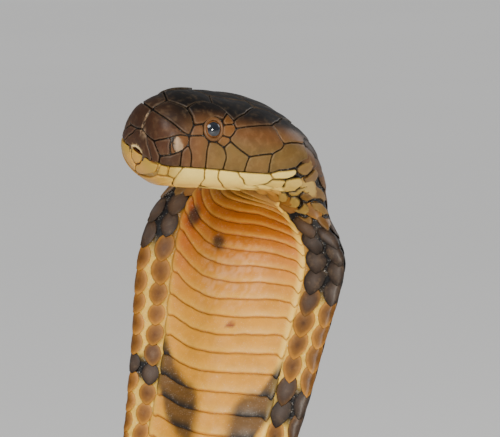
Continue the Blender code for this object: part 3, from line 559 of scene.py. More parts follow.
# Each shield of the left side is the round of its corners
SIDE_SHIELDS = {
    "front_labial": "tip_side_a nasal_front nasal_lip lip_0 tip_lip tip_side_c tip_side_b",
    "internasal": "tip_top tip_side_a nasal_front nasal_top nostril_back postnasal_top nasal_front_c "
        "nasal_front_b nasal_front_a midline_1",
    "nasal": "nasal_front nasal_top nostril_front nasal_low nasal_lip",
    "postnasal": "nasal_top nostril_back postnasal_top postnasal_rear postnasal_low nasal_low "
        "nostril_front",
    "prefrontal": "midline_1 nasal_front_a nasal_front_b nasal_front_c postnasal_top brow_front_low "
        "brow_front brow_top frontal_front midline_2",
    "preocular": "brow_front_low eye_front_top eye_front_low postnasal_top",
    "brow": "brow_front_low brow_front brow_top frontal_a frontal_b frontal_rear brow_rear_top "
        "brow_rear eye_top_rear eye_top eye_top_front eye_front_top",
    "behind_eye_1": "eye_top_rear brow_rear behind_a behind_b eye_rear_top",
    "behind_eye_2": "eye_rear_top behind_b temple_front behind_c behind_d eye_rear",
    "behind_eye_3": "eye_rear behind_d temple_low under_eye eye_rear_low",
    "parietal": "midline_3 frontal_rear brow_rear_top brow_rear behind_a crown_side crown_rear "
        "midline_4",
    "upper_temple": "behind_a crown_side crown_rear nape_a nape_b nape_c temple_top temple_front "
        "behind_b",
    "temple": "temple_front temple_top temple_side temple_rear temple_notch temple_lip temple_mid "
        "temple_low behind_d behind_c",
    "rear_temple": "temple_top nape_c nape_b cheek_top cheek_mid cheek_low temple_rear temple_side",
    "occipital": "midline_4 crown_rear nape_a nape_b nape_d midline_5",
    "cheek": "temple_rear cheek_low jaw_a jaw_b jaw_c lip_7 lip_6 temple_lip temple_notch",
    "labial_1": "lip_0 nasal_lip nasal_low postnasal_low lip_1",
    "labial_2": "lip_1 postnasal_low postnasal_rear lip_bend_2 lip_2",
    "labial_3": "lip_2 lip_bend_2 postnasal_rear postnasal_top eye_front_low eye_low lip_bend_3 lip_3",
    "labial_4": "lip_3 lip_bend_3 eye_low eye_rear_low under_eye lip_bend_4 lip_4",
    "labial_5": "lip_4 lip_bend_4 under_eye temple_low temple_mid lip_5",
    "labial_6": "lip_5 temple_mid temple_lip lip_6"}
# Half of each shield that lies across the middle; its right half is the same, mirrored
MIDDLE_SHIELDS = {
    "rostral": "tip_top tip_side_a tip_side_b tip_side_c tip_lip mouth_notch mouth_arch mouth_top",
    "frontal": "midline_2 frontal_front brow_top frontal_a frontal_b frontal_rear midline_3"}

FRONT_SPAN = 13.0  # how much of the head's flat map the snout's front takes
GROOVE, SHIELD_ROUND = 0.2, 0.9  # the groove between two shields, and how far a corner is cut back
LOOSE_GROOVE, LOOSE_ROUND = 0.5, 2.4  # the same for the looser scales behind the mouth
LONG_EDGE = 5.0  # an edge longer than this follows the skin in shorter steps
RIM_DEPTH, SHIELD_ROOT = 0.3, 0.9  # a rim's top and its root, under the outer form
RIM_FINE, FIELD_FINE = 0.33, 0.85  # the spacing of the mesh's points near a rim and inside it
RIM_WIDTH, RIM_CLEAR = 1.1, 0.14  # how wide the fine points' strip is, and where it starts
SHIELD_RISE, BROW_RISE = 0.32, 0.9  # how far a shield's top stands over the form
RIM_ROUND = 0.42  # how far in from its rim a shield is rounded
notch = SNOUT + (*CENTRE, 0)
# The map's distance from the snout for places along the head, to be looked up backwards
taper_table = np.linspace(0, 1, 3000) ** 3 * 100
span_table = taper_table + FRONT_SPAN * snout_taper(taper_table)


def to_map(s, q):
    """A flat map of the head's form, with the middle of the snout at its centre."""
    out = s + FRONT_SPAN * snout_taper(s)
    return np.stack([out * np.sin(q * math.pi / 2), out * np.cos(q * math.pi / 2)], -1)


def map_s(spot):
    return np.interp(np.hypot(spot[..., 0], spot[..., 1]), span_table, taper_table)


def map_q(spot):
    return np.arctan2(spot[..., 0], spot[..., 1]) * 2 / math.pi


def from_map(spot):
    return form(map_s(spot), map_q(spot))


def front_corner(left, up):
    """The map's place for a point of the snout's front."""
    square = SQUARE[0][1] if up >= 0 else JAW_SQUARE
    tall = TALL[0][1] if up >= 0 else DEEP[0][1]
    a, b = abs(left) / WIDE[0][1], abs(up) / tall
    share = (a ** square + b ** square) ** (1 / square)
    s = NOSE * (1 - (1 - share ** BLUNT) ** (1 / BLUNT))
    q = math.atan2(a ** (square / 2), b ** (square / 2)) * 2 / math.pi
    return to_map(np.array(s), np.array(q if up >= 0 else 2 - q))


def corner(name):
    if name in FRONT_CORNERS:
        return front_corner(*FRONT_CORNERS[name])
    s, q = CORNERS[name]
    return to_map(np.array(float(s)), np.array(float(q)))


def map_normal(spot):
    """The form's outward direction at places of the map."""
    step = 0.02
    across = from_map(spot + (step, 0)) - from_map(spot - (step, 0))
    onward = from_map(spot + (0, step)) - from_map(spot - (0, step))
    return unit(np.cross(across, onward))


def round_corners(outline, cut_back):
    """Each corner of a closed outline becomes three, along a small round; nearly straight places stay."""
    points = []
    for before, here, after in zip(np.roll(outline, 1, axis=0), outline, np.roll(outline, -1, axis=0)):
        arriving, leaving = here - before, after - here
        if unit(arriving) @ unit(leaving) > 0.95:
            points.append(here)
            continue
        start = here - unit(arriving) * min(cut_back, 0.35 * np.linalg.norm(arriving))
        end = here + unit(leaving) * min(cut_back, 0.35 * np.linalg.norm(leaving))
        points += [start, (start + end + 2 * here) / 4, end]
    return np.array(points)


def shrunk(outline, inset):
    """A closed outline that runs left-handed round its inside, moved inwards."""
    along_edge = unit(np.roll(outline, -1, axis=0) - outline)
    inward = np.stack([-along_edge[:, 1], along_edge[:, 0]], 1)
    both = inward + np.roll(inward, 1, axis=0)
    return outline + both * (inset / np.maximum(0.5, (both * inward).sum(1)))[:, None]


def spread(outline, pitch):
    """The outline with points added so that none of its steps is much over the pitch."""
    points = []
    for a, b in zip(outline, np.roll(outline, -1, axis=0)):
        count = max(1, int(round(np.linalg.norm(b - a) / pitch)))
        points += [a + (b - a) * k / count for k in range(count)]
    return np.array(points)


def inside(points, outline):
    """Whether each point lies in the outline."""
    a, b = outline, np.roll(outline, -1, axis=0)
    x, y = points[:, :1], points[:, 1:]
    crosses = (a[:, 1] > y) != (b[:, 1] > y)
    with np.errstate(divide="ignore", invalid="ignore"):
        at = a[:, 0] + (y - a[:, 1]) / (b[:, 1] - a[:, 1]) * (b[:, 0] - a[:, 0])
    return (crosses & (x < at)).sum(1) % 2 == 1


def from_rim(points, outline):
    """Each point's distance to the outline."""
    a, b = outline[None], np.roll(outline, -1, axis=0)[None]
    p = points[:, None]
    share = np.clip(((p - a) * (b - a)).sum(-1) / np.maximum(((b - a) ** 2).sum(-1), 1e-9), 0, 1)
    return np.linalg.norm(a + (b - a) * share[..., None] - p, axis=-1).min(1)


def six_sided(low, high, pitch):
    """Points of a honeycomb over a rectangle."""
    return np.array([(x + (0.5 if row % 2 else 0) * pitch, y)
                     for row, y in enumerate(np.arange(low[1], high[1], pitch * 0.87))
                     for x in np.arange(low[0], high[0], pitch)])


def jaw_excess(point):
    """Below nought inside the lower jaw's form, and above nought outside it."""
    from_notch = point - notch
    back = -(from_notch @ ahead)
    wide = np.maximum(through(WIDE, back) * snout_taper(back), 1e-4)
    deep = np.maximum(through(DEEP, back) * snout_taper(back - JAW_BACK), 1e-4)
    aside, up = np.abs(from_notch @ head_left) / wide, np.abs(from_notch @ head_up) / deep
    return aside ** through(SQUARE, back) + up ** JAW_SQUARE - 1


def onto_jaw(point, out, start=-5.0, end=6.0):
    """Points moved along a direction until they lie on the lower jaw's form."""
    near, far = np.full(len(point), start), np.full(len(point), end)
    for _ in range(32):
        half = (near + far) / 2
        is_inside = jaw_excess(point + out * half[:, None]) < 0
        near, far = np.where(is_inside, half, near), np.where(is_inside, far, half)
    return point + out * near[:, None]


def jaw_out(point):
    step = 0.02
    slope = [jaw_excess(point + axis) - jaw_excess(point - axis) for axis in np.eye(3) * step]
    return unit(np.stack(slope, -1))


def on_map(points, flat, spots, centre, east, north):
    """Flat places carried to the map by a few steps of Newton's rule, from between the plate's corners."""
    share = (np.linalg.norm(points[:, None] - flat[None], axis=2) + 0.3) ** -2
    spot = (share @ spots) / share.sum(1, keepdims=True)
    for _ in range(9):
        place = from_map(spot)
        miss = points - np.stack([(place - centre) @ east, (place - centre) @ north], 1)
        slope = []
        for axis in ((0.01, 0), (0, 0.01)):
            moved = from_map(spot + axis) - place
            slope.append(np.stack([moved @ east, moved @ north], 1) / 0.01)
        (a, c), (b, d) = slope[0].T, slope[1].T
        det = a * d - b * c
        move = [(d * miss[:, 0] - b * miss[:, 1]) / det, (a * miss[:, 1] - c * miss[:, 0]) / det]
        spot = spot + np.clip(np.stack(move, 1), -2, 2)
    return spot


def plate(spots, raised, relief, gap, cut_back):
    """One crowned plate over the form, from places on its map, or from points in space at the jaw's front.

    It gives the plate's points and faces, and each point's s, q, distance from the rim and place in
    the plate's cell of the map.
    """
    in_space = spots.shape[1] == 3
    spots = spread(spots, LONG_EDGE)
    corners = spots if in_space else from_map(spots)
    normal = unit((jaw_out(corners) if in_space else map_normal(spots)).mean(0))
    centre = corners.mean(0) if in_space else from_map(spots.mean(0))
    east = unit(np.cross(normal, head_up + 0.3 * ahead))
    north = np.cross(normal, east)
    flat = np.stack([(corners - centre) @ east, (corners - centre) @ north], 1)
    turned = (flat[:, 0] * np.roll(flat[:, 1], -1) - np.roll(flat[:, 0], -1) * flat[:, 1]).sum()
    if turned < 0:
        flat, spots = flat[::-1], spots[::-1]
    outline = spread(shrunk(round_corners(flat, cut_back), gap / 2), 0.5)
    low, high = outline.min(0), outline.max(0)
    fine, coarse = six_sided(low, high, RIM_FINE), six_sided(low, high, FIELD_FINE)
    fine, coarse = fine[inside(fine, outline)], coarse[inside(coarse, outline)]
    fine_rim, coarse_rim = from_rim(fine, outline), from_rim(coarse, outline)
    near_rim = (fine_rim > RIM_CLEAR) & (fine_rim < RIM_WIDTH)
    field = [outline, fine[near_rim], coarse[coarse_rim > RIM_WIDTH + 0.2]]
    points = [Vector(p) for p in np.concatenate(field)]
    points, _, faces, *_ = delaunay_2d_cdt(points, [], [list(range(len(outline)))], 1, 1e-5)
    points = np.array([p[:] for p in points])
    sides = {(face[i - 1], face[i]) for face in faces for i in range(3)}
    rim = [(i, j) for i, j in sides if (j, i) not in sides]

    if in_space:
        place = onto_jaw(centre + points[:, :1] * east + points[:, 1:] * north, normal)
        out = jaw_out(place)
        from_notch = place - notch
        s = -(from_notch @ ahead)
        q = np.arctan2(from_notch @ head_left, from_notch @ head_up) * 2 / math.pi
    else:
        spot = on_map(points, flat, spots, centre, east, north)
        place, out, s, q = from_map(spot), map_normal(spot), map_s(spot), map_q(spot)
    edge = from_rim(points, outline)
    rounding = np.sqrt(1 - (1 - np.clip(edge / RIM_ROUND, 0, 1)) ** 2)
    crown = 0.2 * step_up(edge, 0.4, 5)
    height = -RIM_DEPTH + (raised + RIM_DEPTH) * rounding + crown + relief(s, q)
    top, foot = place + out * height[:, None], place - out * SHIELD_ROOT
    n = len(points)
    all_faces = [tuple(face) for face in faces]
    all_faces += [tuple(n + i for i in reversed(face)) for face in faces]
    for i, j in rim:
        all_faces += [(j, i, n + i), (j, n + i, n + j)]
    cell = (points - low) / max(high - low)
    twice = [np.tile(values, 2) for values in (s, q, edge)]
    return np.concatenate([top, foot]), all_faces, *twice, np.tile(cell, (2, 1))


def tidy_mesh(name, points, faces, colours, uvs, finish):
    """A finished object from points in millimetres, triangles, and each point's colour and map place."""
    faces = np.asarray(faces)
    data = bpy.data.meshes.new(name)
    data.vertices.add(len(points))
    data.vertices.foreach_set("co", (points * MM).ravel().astype(np.float32))
    data.loops.add(faces.size)
    data.loops.foreach_set("vertex_index", faces.ravel().astype(np.int32))
    data.polygons.add(len(faces))
    data.polygons.foreach_set("loop_start", np.arange(0, faces.size, 3, dtype=np.int32))
    data.update(calc_edges=True)
    data.validate()
    new_tones(data, colours)
    bake = data.uv_layers.new(name="OFBake")
    bake.data.foreach_set("uv", uvs[faces.ravel()].ravel().astype(np.float32))
    data.materials.append(finish)
    data.shade_smooth()
    made = bpy.data.objects.new(name, data)
    bpy.context.collection.objects.link(made)
    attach(made, "root")
    return made


def plates(name, outlines, relief, colour, finish):
    """Plates of one kind in one mesh, each with a cell of its own on the map."""
    cells = math.ceil(math.sqrt(len(outlines)))
    points, faces, colours, uvs, count = [], [], [], [], 0
    for index, (title, spots) in enumerate(outlines):
        is_loose = title.startswith(("gape", "neck"))
        gap, cut_back = (LOOSE_GROOVE, LOOSE_ROUND) if is_loose else (GROOVE, SHIELD_ROUND)
        raised = BROW_RISE if title == "brow" else SHIELD_RISE
        own_points, own_faces, s, q, edge, cell = plate(spots, raised, relief, gap, cut_back)
        points.append(own_points)
        faces += [tuple(count + i for i in face) for face in own_faces]
        colours.append(colour(title, s, q, edge))
        uvs.append((np.array(divmod(index, cells)) + 0.04 + 0.92 * cell) / cells)
        count += len(own_points)
    return tidy_mesh(name, np.concatenate(points), faces, np.clip(np.concatenate(colours), 0, 1),
                     np.concatenate(uvs), finish)


def both_sides(shields):
    """The outlines of a list of left shields on the map, and of the same mirrored."""
    outlines = []
    for title, corners in shields.items():
        spots = np.array([corner(c) for c in corners.split()])
        outlines += [(title, spots), (title, spots * (-1, 1))]
    return outlines


NOSTRIL = (4.9, 0.755)  # the s and q of its middle
nostril_spot = to_map(np.array(NOSTRIL[0]), np.array(NOSTRIL[1]))
nostril_middle, nostril_out = from_map(nostril_spot), map_normal(nostril_spot)
nostril_back = unit(np.cross(nostril_out, head_up))
nostril_up = np.cross(nostril_back, nostril_out)
if nostril_back @ ahead > 0:
    nostril_back = -nostril_back
    nostril_up = -nostril_up


def at_nostril(s, q):
    """Millimetres back and up from the nostril's middle, on either side of the head."""
    from_middle = form(s, np.abs(q)) - nostril_middle
    return from_middle @ nostril_back, from_middle @ nostril_up * np.sign(nostril_up @ head_up)


def nostril_slit(s, q):
    """1 inside the nostril's dark crescent, which is hollow towards the rear."""
    back, up = at_nostril(s, q)
    slanted = back + 0.25 * up
    outer = np.hypot((slanted - 1.2) / 1.75, up / 2.9)
    inner = np.hypot((slanted - 1.75) / 1.75, up / 2.8)
    return (1 - step_up(outer, 0.94, 1.06)) * step_up(inner, 0.94, 1.06) * (slanted < 1.2) * (s > 1)


def at_snout(s, q):
    """Millimetres to the snake's left and up from the notch for the tongue."""
    from_notch = form(s, q) - notch
    return from_notch @ head_left, from_notch @ head_up


def head_relief(s, q):
    return -0.8 * nostril_slit(s, q)


# The crown's colour is its own dark brown, made darker still as painted shade
SNOUT_BROWN, SIDE_BROWN, CROWN_BROWN_AND_SHADE = paint(66, 40, 22), paint(102, 68, 36), paint(15, 11, 9)
OLIVE_BROWN, WARM_BROWN, SCURF = paint(112, 86, 42), paint(122, 76, 30), paint(182, 152, 118)
NOSTRIL_SHADE, NOTCH_CREAM = paint(12, 8, 8), paint(236, 202, 140)
shield_draw = np.random.default_rng(7)


def head_colour(title, s, q, edge):
    aside = np.abs(q)
    colour = mix(SIDE_BROWN, SNOUT_BROWN, 1 - step_up(s, 5, 15))
    colour = mix(colour, OLIVE_BROWN, step_up(aside, 0.6, 0.85) * step_up(s, 10, 24))
    colour = mix(colour, OLIVE_BROWN * 0.9, step_up(s, 46, 52) * step_up(aside, 0.5, 0.7))
    # The top of the head: its own near-black brown, darkened further as painted shade
    colour = mix(colour, CROWN_BROWN_AND_SHADE, (1 - step_up(aside, 0.3, 0.6)) * (0.3 + 0.7 * step_up(s, 2, 12)))
    colour = colour * (1 + shield_draw.uniform(-0.12, 0.12)) * (1 + shield_draw.uniform(-0.04, 0.04, 3))
    if title.startswith(("behind_eye", "postnasal")):
        colour = mix(colour, WARM_BROWN, 0.45)
    if title in ("frontal", "parietal"):
        # The frontal and parietal are drawn further to that dark: own colour and painted shade
        colour = mix(colour, CROWN_BROWN_AND_SHADE, 0.4)
    warm_heart = step_up(edge, 0.6, 3) * 0.3
    colour = mix(colour, colour * np.array([1.35, 1.15, 0.95]), warm_heart)
    colour = mix(colour, GROOVE_SKIN, 0.85 * (1 - step_up(edge, 0.02, 0.2)))
    # Painted highlight: a faint pale band along each shield's rounded rim
    colour = mix(colour, SCURF, hump(edge, 0.34, 0.14, 0.1) * 0.1)
    back, up = at_nostril(s, q)
    lean = up + 0.3 * back
    crust = 1 - step_up(np.hypot((back - 1.7 + 0.25 * up) / 2.0, lean / 3.7), 0.8, 1.05)
    specks = 0.5 + 0.5 * np.sin(5.1 * back + 1.7 * up) * np.sin(3.9 * up - 2.3 * back)
    colour = mix(colour, SCURF, (0.55 + 0.35 * specks) * crust * (s > 1) * (title == "postnasal"))
    # Painted shade: the nostril's opening, only a shallow dent in the plate, is painted near-black
    colour = mix(colour, NOSTRIL_SHADE, nostril_slit(s, q))
    left, height = at_snout(s, q)
    if title == "rostral":
        colour = mix(colour, NOTCH_CREAM, 1 - step_up(np.hypot(left / 2.1, height), 1.6, 2.1))
    wander = 0.35 * np.sin(height * 1.3) + 0.2 * np.sin(height * 3.1)
    suture = hump(left - wander, 0, 0.28, 0.2) * hump(height, 11.5, 5, 1.5) * (s < 12)
    patch = hump(np.hypot((left - 2.0 - wander) / 1.3, (height - 7.5) / 2.6), 0, 0.75, 0.35)
    return mix(colour, SCURF, 0.6 * np.maximum(suture, 0.55 * patch * (0.5 + 0.5 * specks)) * (s < 12))


shield_finish = scale_finish("head shield", 0.44, 0.24, 0.15, 0.06)
outlines = both_sides(SIDE_SHIELDS)
for title, corners in MIDDLE_SHIELDS.items():
    half = np.array([corner(c) for c in corners.split()])
    mirrored = [spot * (-1, 1) for spot in half[::-1] if abs(spot[0]) > 1e-6]
    outlines.append((title, np.array([*half, *mirrored])))
plates("head_shields", outlines, head_relief, head_colour, shield_finish)

# Lower lip and chin
# The cream plates of the lower lip, the small one under the tongue's notch and the pairs under the chin,
# and the large, looser scales behind the corner of the mouth, where dark skin shows between them.  All
# are of the same thin keratin as the head's shields.

CORNERS.update({
    "low_0": (1.8, 1), "low_1": (4.5, 1), "low_2": (10, 1), "low_3": (18.5, 1), "low_4": (24, 1),
    "low_5": (30.8, 1), "low_6": (43.5, 1), "low_7": (50.5, 0.968), "low_8": (54.2, 0.93),
    "low_9": (54.8, 0.96), "low_10": (54.3, 0.99), "chin_0": (2, 1.3), "chin_1": (4.8, 1.2),
    "chin_2": (8.2, 1.25), "chin_bend": (19.6, 1.2), "chin_3": (20, 1.44), "chin_4": (27, 1.3),
    "chin_5": (31, 1.5), "chin_6": (34, 1.14), "chin_7": (37, 1.33), "chin_8": (43.5, 1.2),
    "chin_9": (45, 1.08), "chin_10": (51.1, 1.05), "gular_a": (12, 1.62), "gular_b": (13, 2),
    "gular_c": (23, 1.7), "gular_d": (24, 2), "gular_e": (2.6, 2), "gular_f": (2.0, 1.6)})
# The plates at the jaw's front have corners in millimetres to the left, and up from the lips
JAW_FRONT = {
    "mental": [
        (4.0, -0.3), (2.8, -3.7), (0, -5.2), (-2.8, -3.7), (-4.0, -0.3), (-2, -0.45), (0, -0.5),
        (2, -0.45)],
    "lower_labial_1": [
        (4.2, -0.3), (12.4, -0.3), (11.6, -3.8), (6.8, -6.4), (3.1, -7.8), (0, -8.1), (0, -5.3),
        (2.9, -3.8)]}
JAW_SHIELDS = {
    "lower_labial_2": "low_0 low_1 chin_1 chin_0",
    "lower_labial_3": "low_1 low_2 chin_2 chin_1",
    "lower_labial_4": "low_2 low_3 chin_bend chin_3 gular_a chin_2",
    "lower_labial_5": "low_3 low_4 chin_4 chin_5 chin_3 chin_bend",
    "lower_labial_6": "low_4 low_5 chin_6 chin_7 chin_5 chin_4",
    "lower_labial_7": "low_5 low_6 chin_9 chin_8 chin_7 chin_6",
    "lower_labial_8": "low_6 low_7 low_8 low_9 low_10 chin_10 chin_9",
    "chin_shield_1": "gular_e gular_f chin_0 chin_1 chin_2 gular_a gular_b",
    "chin_shield_2": "gular_b gular_a chin_3 gular_c gular_d"}
# Each scale behind the corner of the mouth is the round of its corners, and how far it is browned
GAPE_SCALES = {
    "gape_1": (0, [
        (45, 1.08), (51, 1.06), (51.6, 1.11), (52, 1.24), (50.2, 1.36), (42.2, 1.27), (43.5, 1.2)]),
    "gape_2": (0.1, [
        (51.4, 1.055), (54.3, 1), (57.5, 0.972), (59.5, 0.99), (60.5, 1.04), (59.5, 1.22),
        (57.2, 1.38), (51.6, 1.4), (52.2, 1.24)]),
    "gape_3": (0.75, [
        (54.2, 0.92), (58.4, 0.76), (58.9, 0.7), (61.2, 0.73), (61.5, 0.77), (61.2, 0.85), (60, 0.93),
        (58.3, 0.962), (55.2, 0.965)]),
    "gape_4": (0.85, [
        (58.6, 0.97), (60.2, 0.935), (61.6, 0.85), (62.8, 0.75), (65.5, 0.76), (66, 0.83),
        (65.8, 0.91), (61, 1), (60, 0.995)]),
    "gape_5": (0.35, [
        (58, 1.39), (60, 1.24), (61, 1.05), (61.5, 1.01), (63.6, 0.98), (63.2, 1.06), (62.8, 1.2),
        (63.1, 1.28), (61.8, 1.4)]),
    "neck_1": (0.85, [
        (64.2, 1.27), (64.6, 1.06), (66.4, 0.925), (68.5, 0.89), (75.8, 0.79), (77.8, 0.81), (77, 0.9),
        (71, 1.22), (67.2, 1.29)]),
    "neck_2": (0.2, [
        (57, 1.6), (57.8, 1.42), (62.3, 1.45), (68, 1.54), (70, 1.62), (66, 1.68)]),
    "neck_3": (0.3, [
        (62.6, 1.435), (64.4, 1.31), (68.2, 1.3), (73, 1.37), (76.6, 1.44), (76.6, 1.52), (73.2, 1.61),
        (69, 1.54)]),
    "neck_4": (0.55, [
        (70.2, 1.3), (72.5, 1.23), (77, 1.22), (79.6, 1.27), (82.3, 1.38), (81.6, 1.48), (77.9, 1.56),
        (77.2, 1.43), (73.8, 1.36)]),
    "neck_5": (0.8, [
        (72.4, 1.2), (78.2, 0.9), (81.8, 0.82), (83.2, 0.85), (82, 1), (79.8, 1.11), (78, 1.19)]),
    "neck_6": (0.95, [
        (79.9, 1.21), (80.3, 1.12), (82.5, 1), (84.4, 0.86), (86.8, 0.92), (89, 1.07), (88.8, 1.18),
        (85.8, 1.25), (82.2, 1.25)]),
    "neck_7": (0.9, [
        (80.9, 1.29), (83, 1.285), (85.8, 1.34), (87, 1.41), (85.8, 1.48), (82, 1.52), (82.9, 1.4)])}
CHIN_TAN, NECK_BROWN, GAP_BROWN = paint(222, 158, 70), paint(88, 52, 24), paint(34, 20, 9)
# The first is painted shade, which darkens the lip plates towards the jaw's front
FRONT_PAINTED_SHADE, NECK_SHADE = np.array([0.5, 0.41, 0.24]), np.array([0.86, 0.8, 0.7])
gape_outlines = [to_map(*np.array(corners).T) for browned, corners in GAPE_SCALES.values()]


def behind_mouth(s, q):
    """Whether places are taken by the large scales behind the corner of the mouth."""
    spots = to_map(s, np.abs(rounded(q)))
    return np.any([inside(spots, outline) for outline in gape_outlines], axis=0)


def lip_colour(title, s, q, edge):
    """Cream with painted shade at the jaw's front, tan under the chin; the scales behind the mouth are
    browned.
    """
    colour = np.broadcast_to(LIP_CREAM, (len(s), 3)) * (1 + shield_draw.uniform(-0.06, 0.06))
    # Painted shade: the lip plates are darkened towards the jaw's front
    colour = colour * mix(FRONT_PAINTED_SHADE, np.ones(3), step_up(s, 3, 12))
    if title in GAPE_SCALES:
        browned = GAPE_SCALES[title][0]
        share = browned ** 0.5 - 0.06 * (1 - step_up(edge, 0.3, 2.5))
        colour = mix(colour * NECK_SHADE, NECK_BROWN, np.maximum(share, 0))
        return mix(colour, GAP_BROWN, 0.9 * (1 - step_up(edge, 0.05, 0.5)))
    colour = mix(colour, CHIN_TAN, 0.55 * step_up(np.abs(q), 1.08, 1.6))
    return mix(colour, LIP_BROWN, 0.8 * (1 - step_up(edge, 0.02, 0.2)))


lip_finish = scale_finish("lip scale", 0.4, 0.08, 0.12, 0.2)
outlines = both_sides(JAW_SHIELDS)
for title, corners in JAW_FRONT.items():
    for mirror in (1, -1) if title != "mental" else (1,):
        front = np.array([notch + head_left * left * mirror + head_up * up for left, up in corners])
        outlines.append((title, onto_jaw(front, ahead, start=-20.0)))
for title, spots in zip(GAPE_SCALES, gape_outlines):
    outlines += [(title, spots), (title, spots * (-1, 1))]
plates("lip_shields", outlines, lambda s, q: 0, lip_colour, lip_finish)

# Eyes
# A round, dark eye under its clear spectacle, with a thin ring of gold round the black, held in a smooth
# brown collar of skin that stands a little proud of the shields about it.

EYE_PLACE, EYE_SIDE = 19.8, 0.61  # the s and q of its middle
EYE_RADIUS, EYE_SUNK = 3.7, 2.2
COLLAR_RADIUS, COLLAR_THICK, COLLAR_SUNK = 3.4, 0.6, 0.05


def set_in_head(title, side, sunk):
    """Gives the new active object's points, in millimetres, a place and turn on the eye's axis."""
    spot = to_map(np.array(EYE_PLACE), np.array(EYE_SIDE * side))
    out = map_normal(spot)
    onward = unit(np.cross(head_up, out))
    axes = np.stack([onward, np.cross(out, onward), out])
    made = bpy.context.object
    made.name = title
    points = np.empty(len(made.data.vertices) * 3)
    made.data.vertices.foreach_get("co", points)
    points = points.reshape(-1, 3)
    made.data.vertices.foreach_set("co", ((points @ axes + from_map(spot) - out * sunk) * MM).ravel())
    bpy.ops.object.shade_smooth()
    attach(made, "root")
    return made, points


eye_finish, surface, shade = new_material("wet eye")
away = shade.node("Attribute", {"attribute_name": "from_axis"}, output=2)
where = shade.node("TexCoord", output=3)
rays = shade.node("TexNoise", None, {"Vector": where, "Scale": 2600, "Detail": 3})
ringed = away + (rays - 0.5) * 0.12
# From the eye's axis outwards: the dark middle, the ring of gold and the dark rim
EYE_STOPS = [
    (0.0, paint(14, 17, 24)), (0.60, paint(24, 30, 40)), (0.70, paint(12, 10, 12)),
    (0.735, paint(140, 90, 46)), (0.79, paint(112, 64, 30)), (0.83, paint(30, 17, 12))]
eye_colour = shade.node("ValToRGB", {"stops": EYE_STOPS}, {"Fac": ringed})
joined(eye_colour, surface["Base Color"])
surface["Roughness"].default_value = 0.08
surface["Coat Weight"].default_value = 0.8
surface["Coat Roughness"].default_value = 0.03
collar_finish = scale_finish("eye collar", 0.4, 0.2, 0.15, 0.15)
for word, side in (("left", 1), ("right", -1)):
    deselect()
    bpy.ops.mesh.primitive_uv_sphere_add(segments=48, ring_count=24, radius=EYE_RADIUS)
    eyeball, points = set_in_head(word + "_eyeball", side, EYE_SUNK)
    from_axis = eyeball.data.attributes.new("from_axis", "FLOAT", "POINT")
    off_axis = np.where(points[:, 2] > 0, np.hypot(points[:, 0], points[:, 1]), 9)
    from_axis.data.foreach_set("value", off_axis / EYE_RADIUS)
    eyeball.data.uv_layers[0].name = "OFBake"
    eyeball.data.materials.append(eye_finish)
    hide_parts("eye_" + word)
    deselect()
    bpy.ops.mesh.primitive_torus_add(major_segments=48, minor_segments=12, major_radius=COLLAR_RADIUS,
                                     minor_radius=COLLAR_THICK)
    bpy.context.object.scale = (1.0, 1.1, 1.0)
    bpy.ops.object.transform_apply(scale=True)
    collar, points = set_in_head(word + "_eye_collar", side, COLLAR_SUNK)
    new_tones(collar.data, mix(SIDE_BROWN, GROOVE_SKIN, step_up(-points[:, 2], 0.1, 0.4)))
    collar.data.uv_layers[0].name = "OFBake"
    collar.data.materials.append(collar_finish)

# Throat scales
# Small, narrow, cream scales between the lip plates, the chin and the first belly scutes.  They are soft and
# lie slanting back and down, each over the front of the next.

SCALE_CROWN, SCALE_UNDER = 0.40, 0.6  # how far a scale rises over its rim, and sinks under it
SCALE_ON_MAP = 0.0013  # half a scale's size on the flat map
deselect()
bpy.ops.mesh.primitive_uv_sphere_add(segments=14, ring_count=6, radius=1)
bpy.ops.object.mode_set(mode="EDIT")
bpy.ops.mesh.quads_convert_to_tris()
bpy.ops.object.mode_set(mode="OBJECT")
pattern = bpy.context.object
scale_form = np.array([v.co[:] for v in pattern.data.vertices])
scale_faces = np.array([p.vertices[:] for p in pattern.data.polygons])
bpy.data.objects.remove(pattern)
angle = np.arctan2(scale_form[:, 1], scale_form[:, 0])
radius = 1 - (1 - np.clip(np.hypot(scale_form[:, 0], scale_form[:, 1]), 0, 1)) ** 1.5
thick = np.where(scale_form[:, 2] > 0, (1 - radius ** 4) * SCALE_CROWN, -(1 - radius ** 2) * SCALE_UNDER)
thick = np.where(np.abs(scale_form[:, 2]) < 1e-3, 0, thick)
scale_draw = np.random.default_rng(11)


def rear_edges(start, end, pitch_keys):
    """Places along the body, each a pitch after the last."""
    edges = [start]
    while edges[-1] < end:
        edges.append(edges[-1] + float(through(pitch_keys, edges[-1])))
    return np.array(edges)


def quincunx(edges, shares):
    """Scales' places in rows, every second row half a pitch on from the one beside it."""
    places = []
    for index, share in enumerate(shares):
        shift = 0.5 if index % 2 else 0
        places += [(place, share) for place in edges[:-1] + np.diff(edges) * shift]
    return np.array(places).T


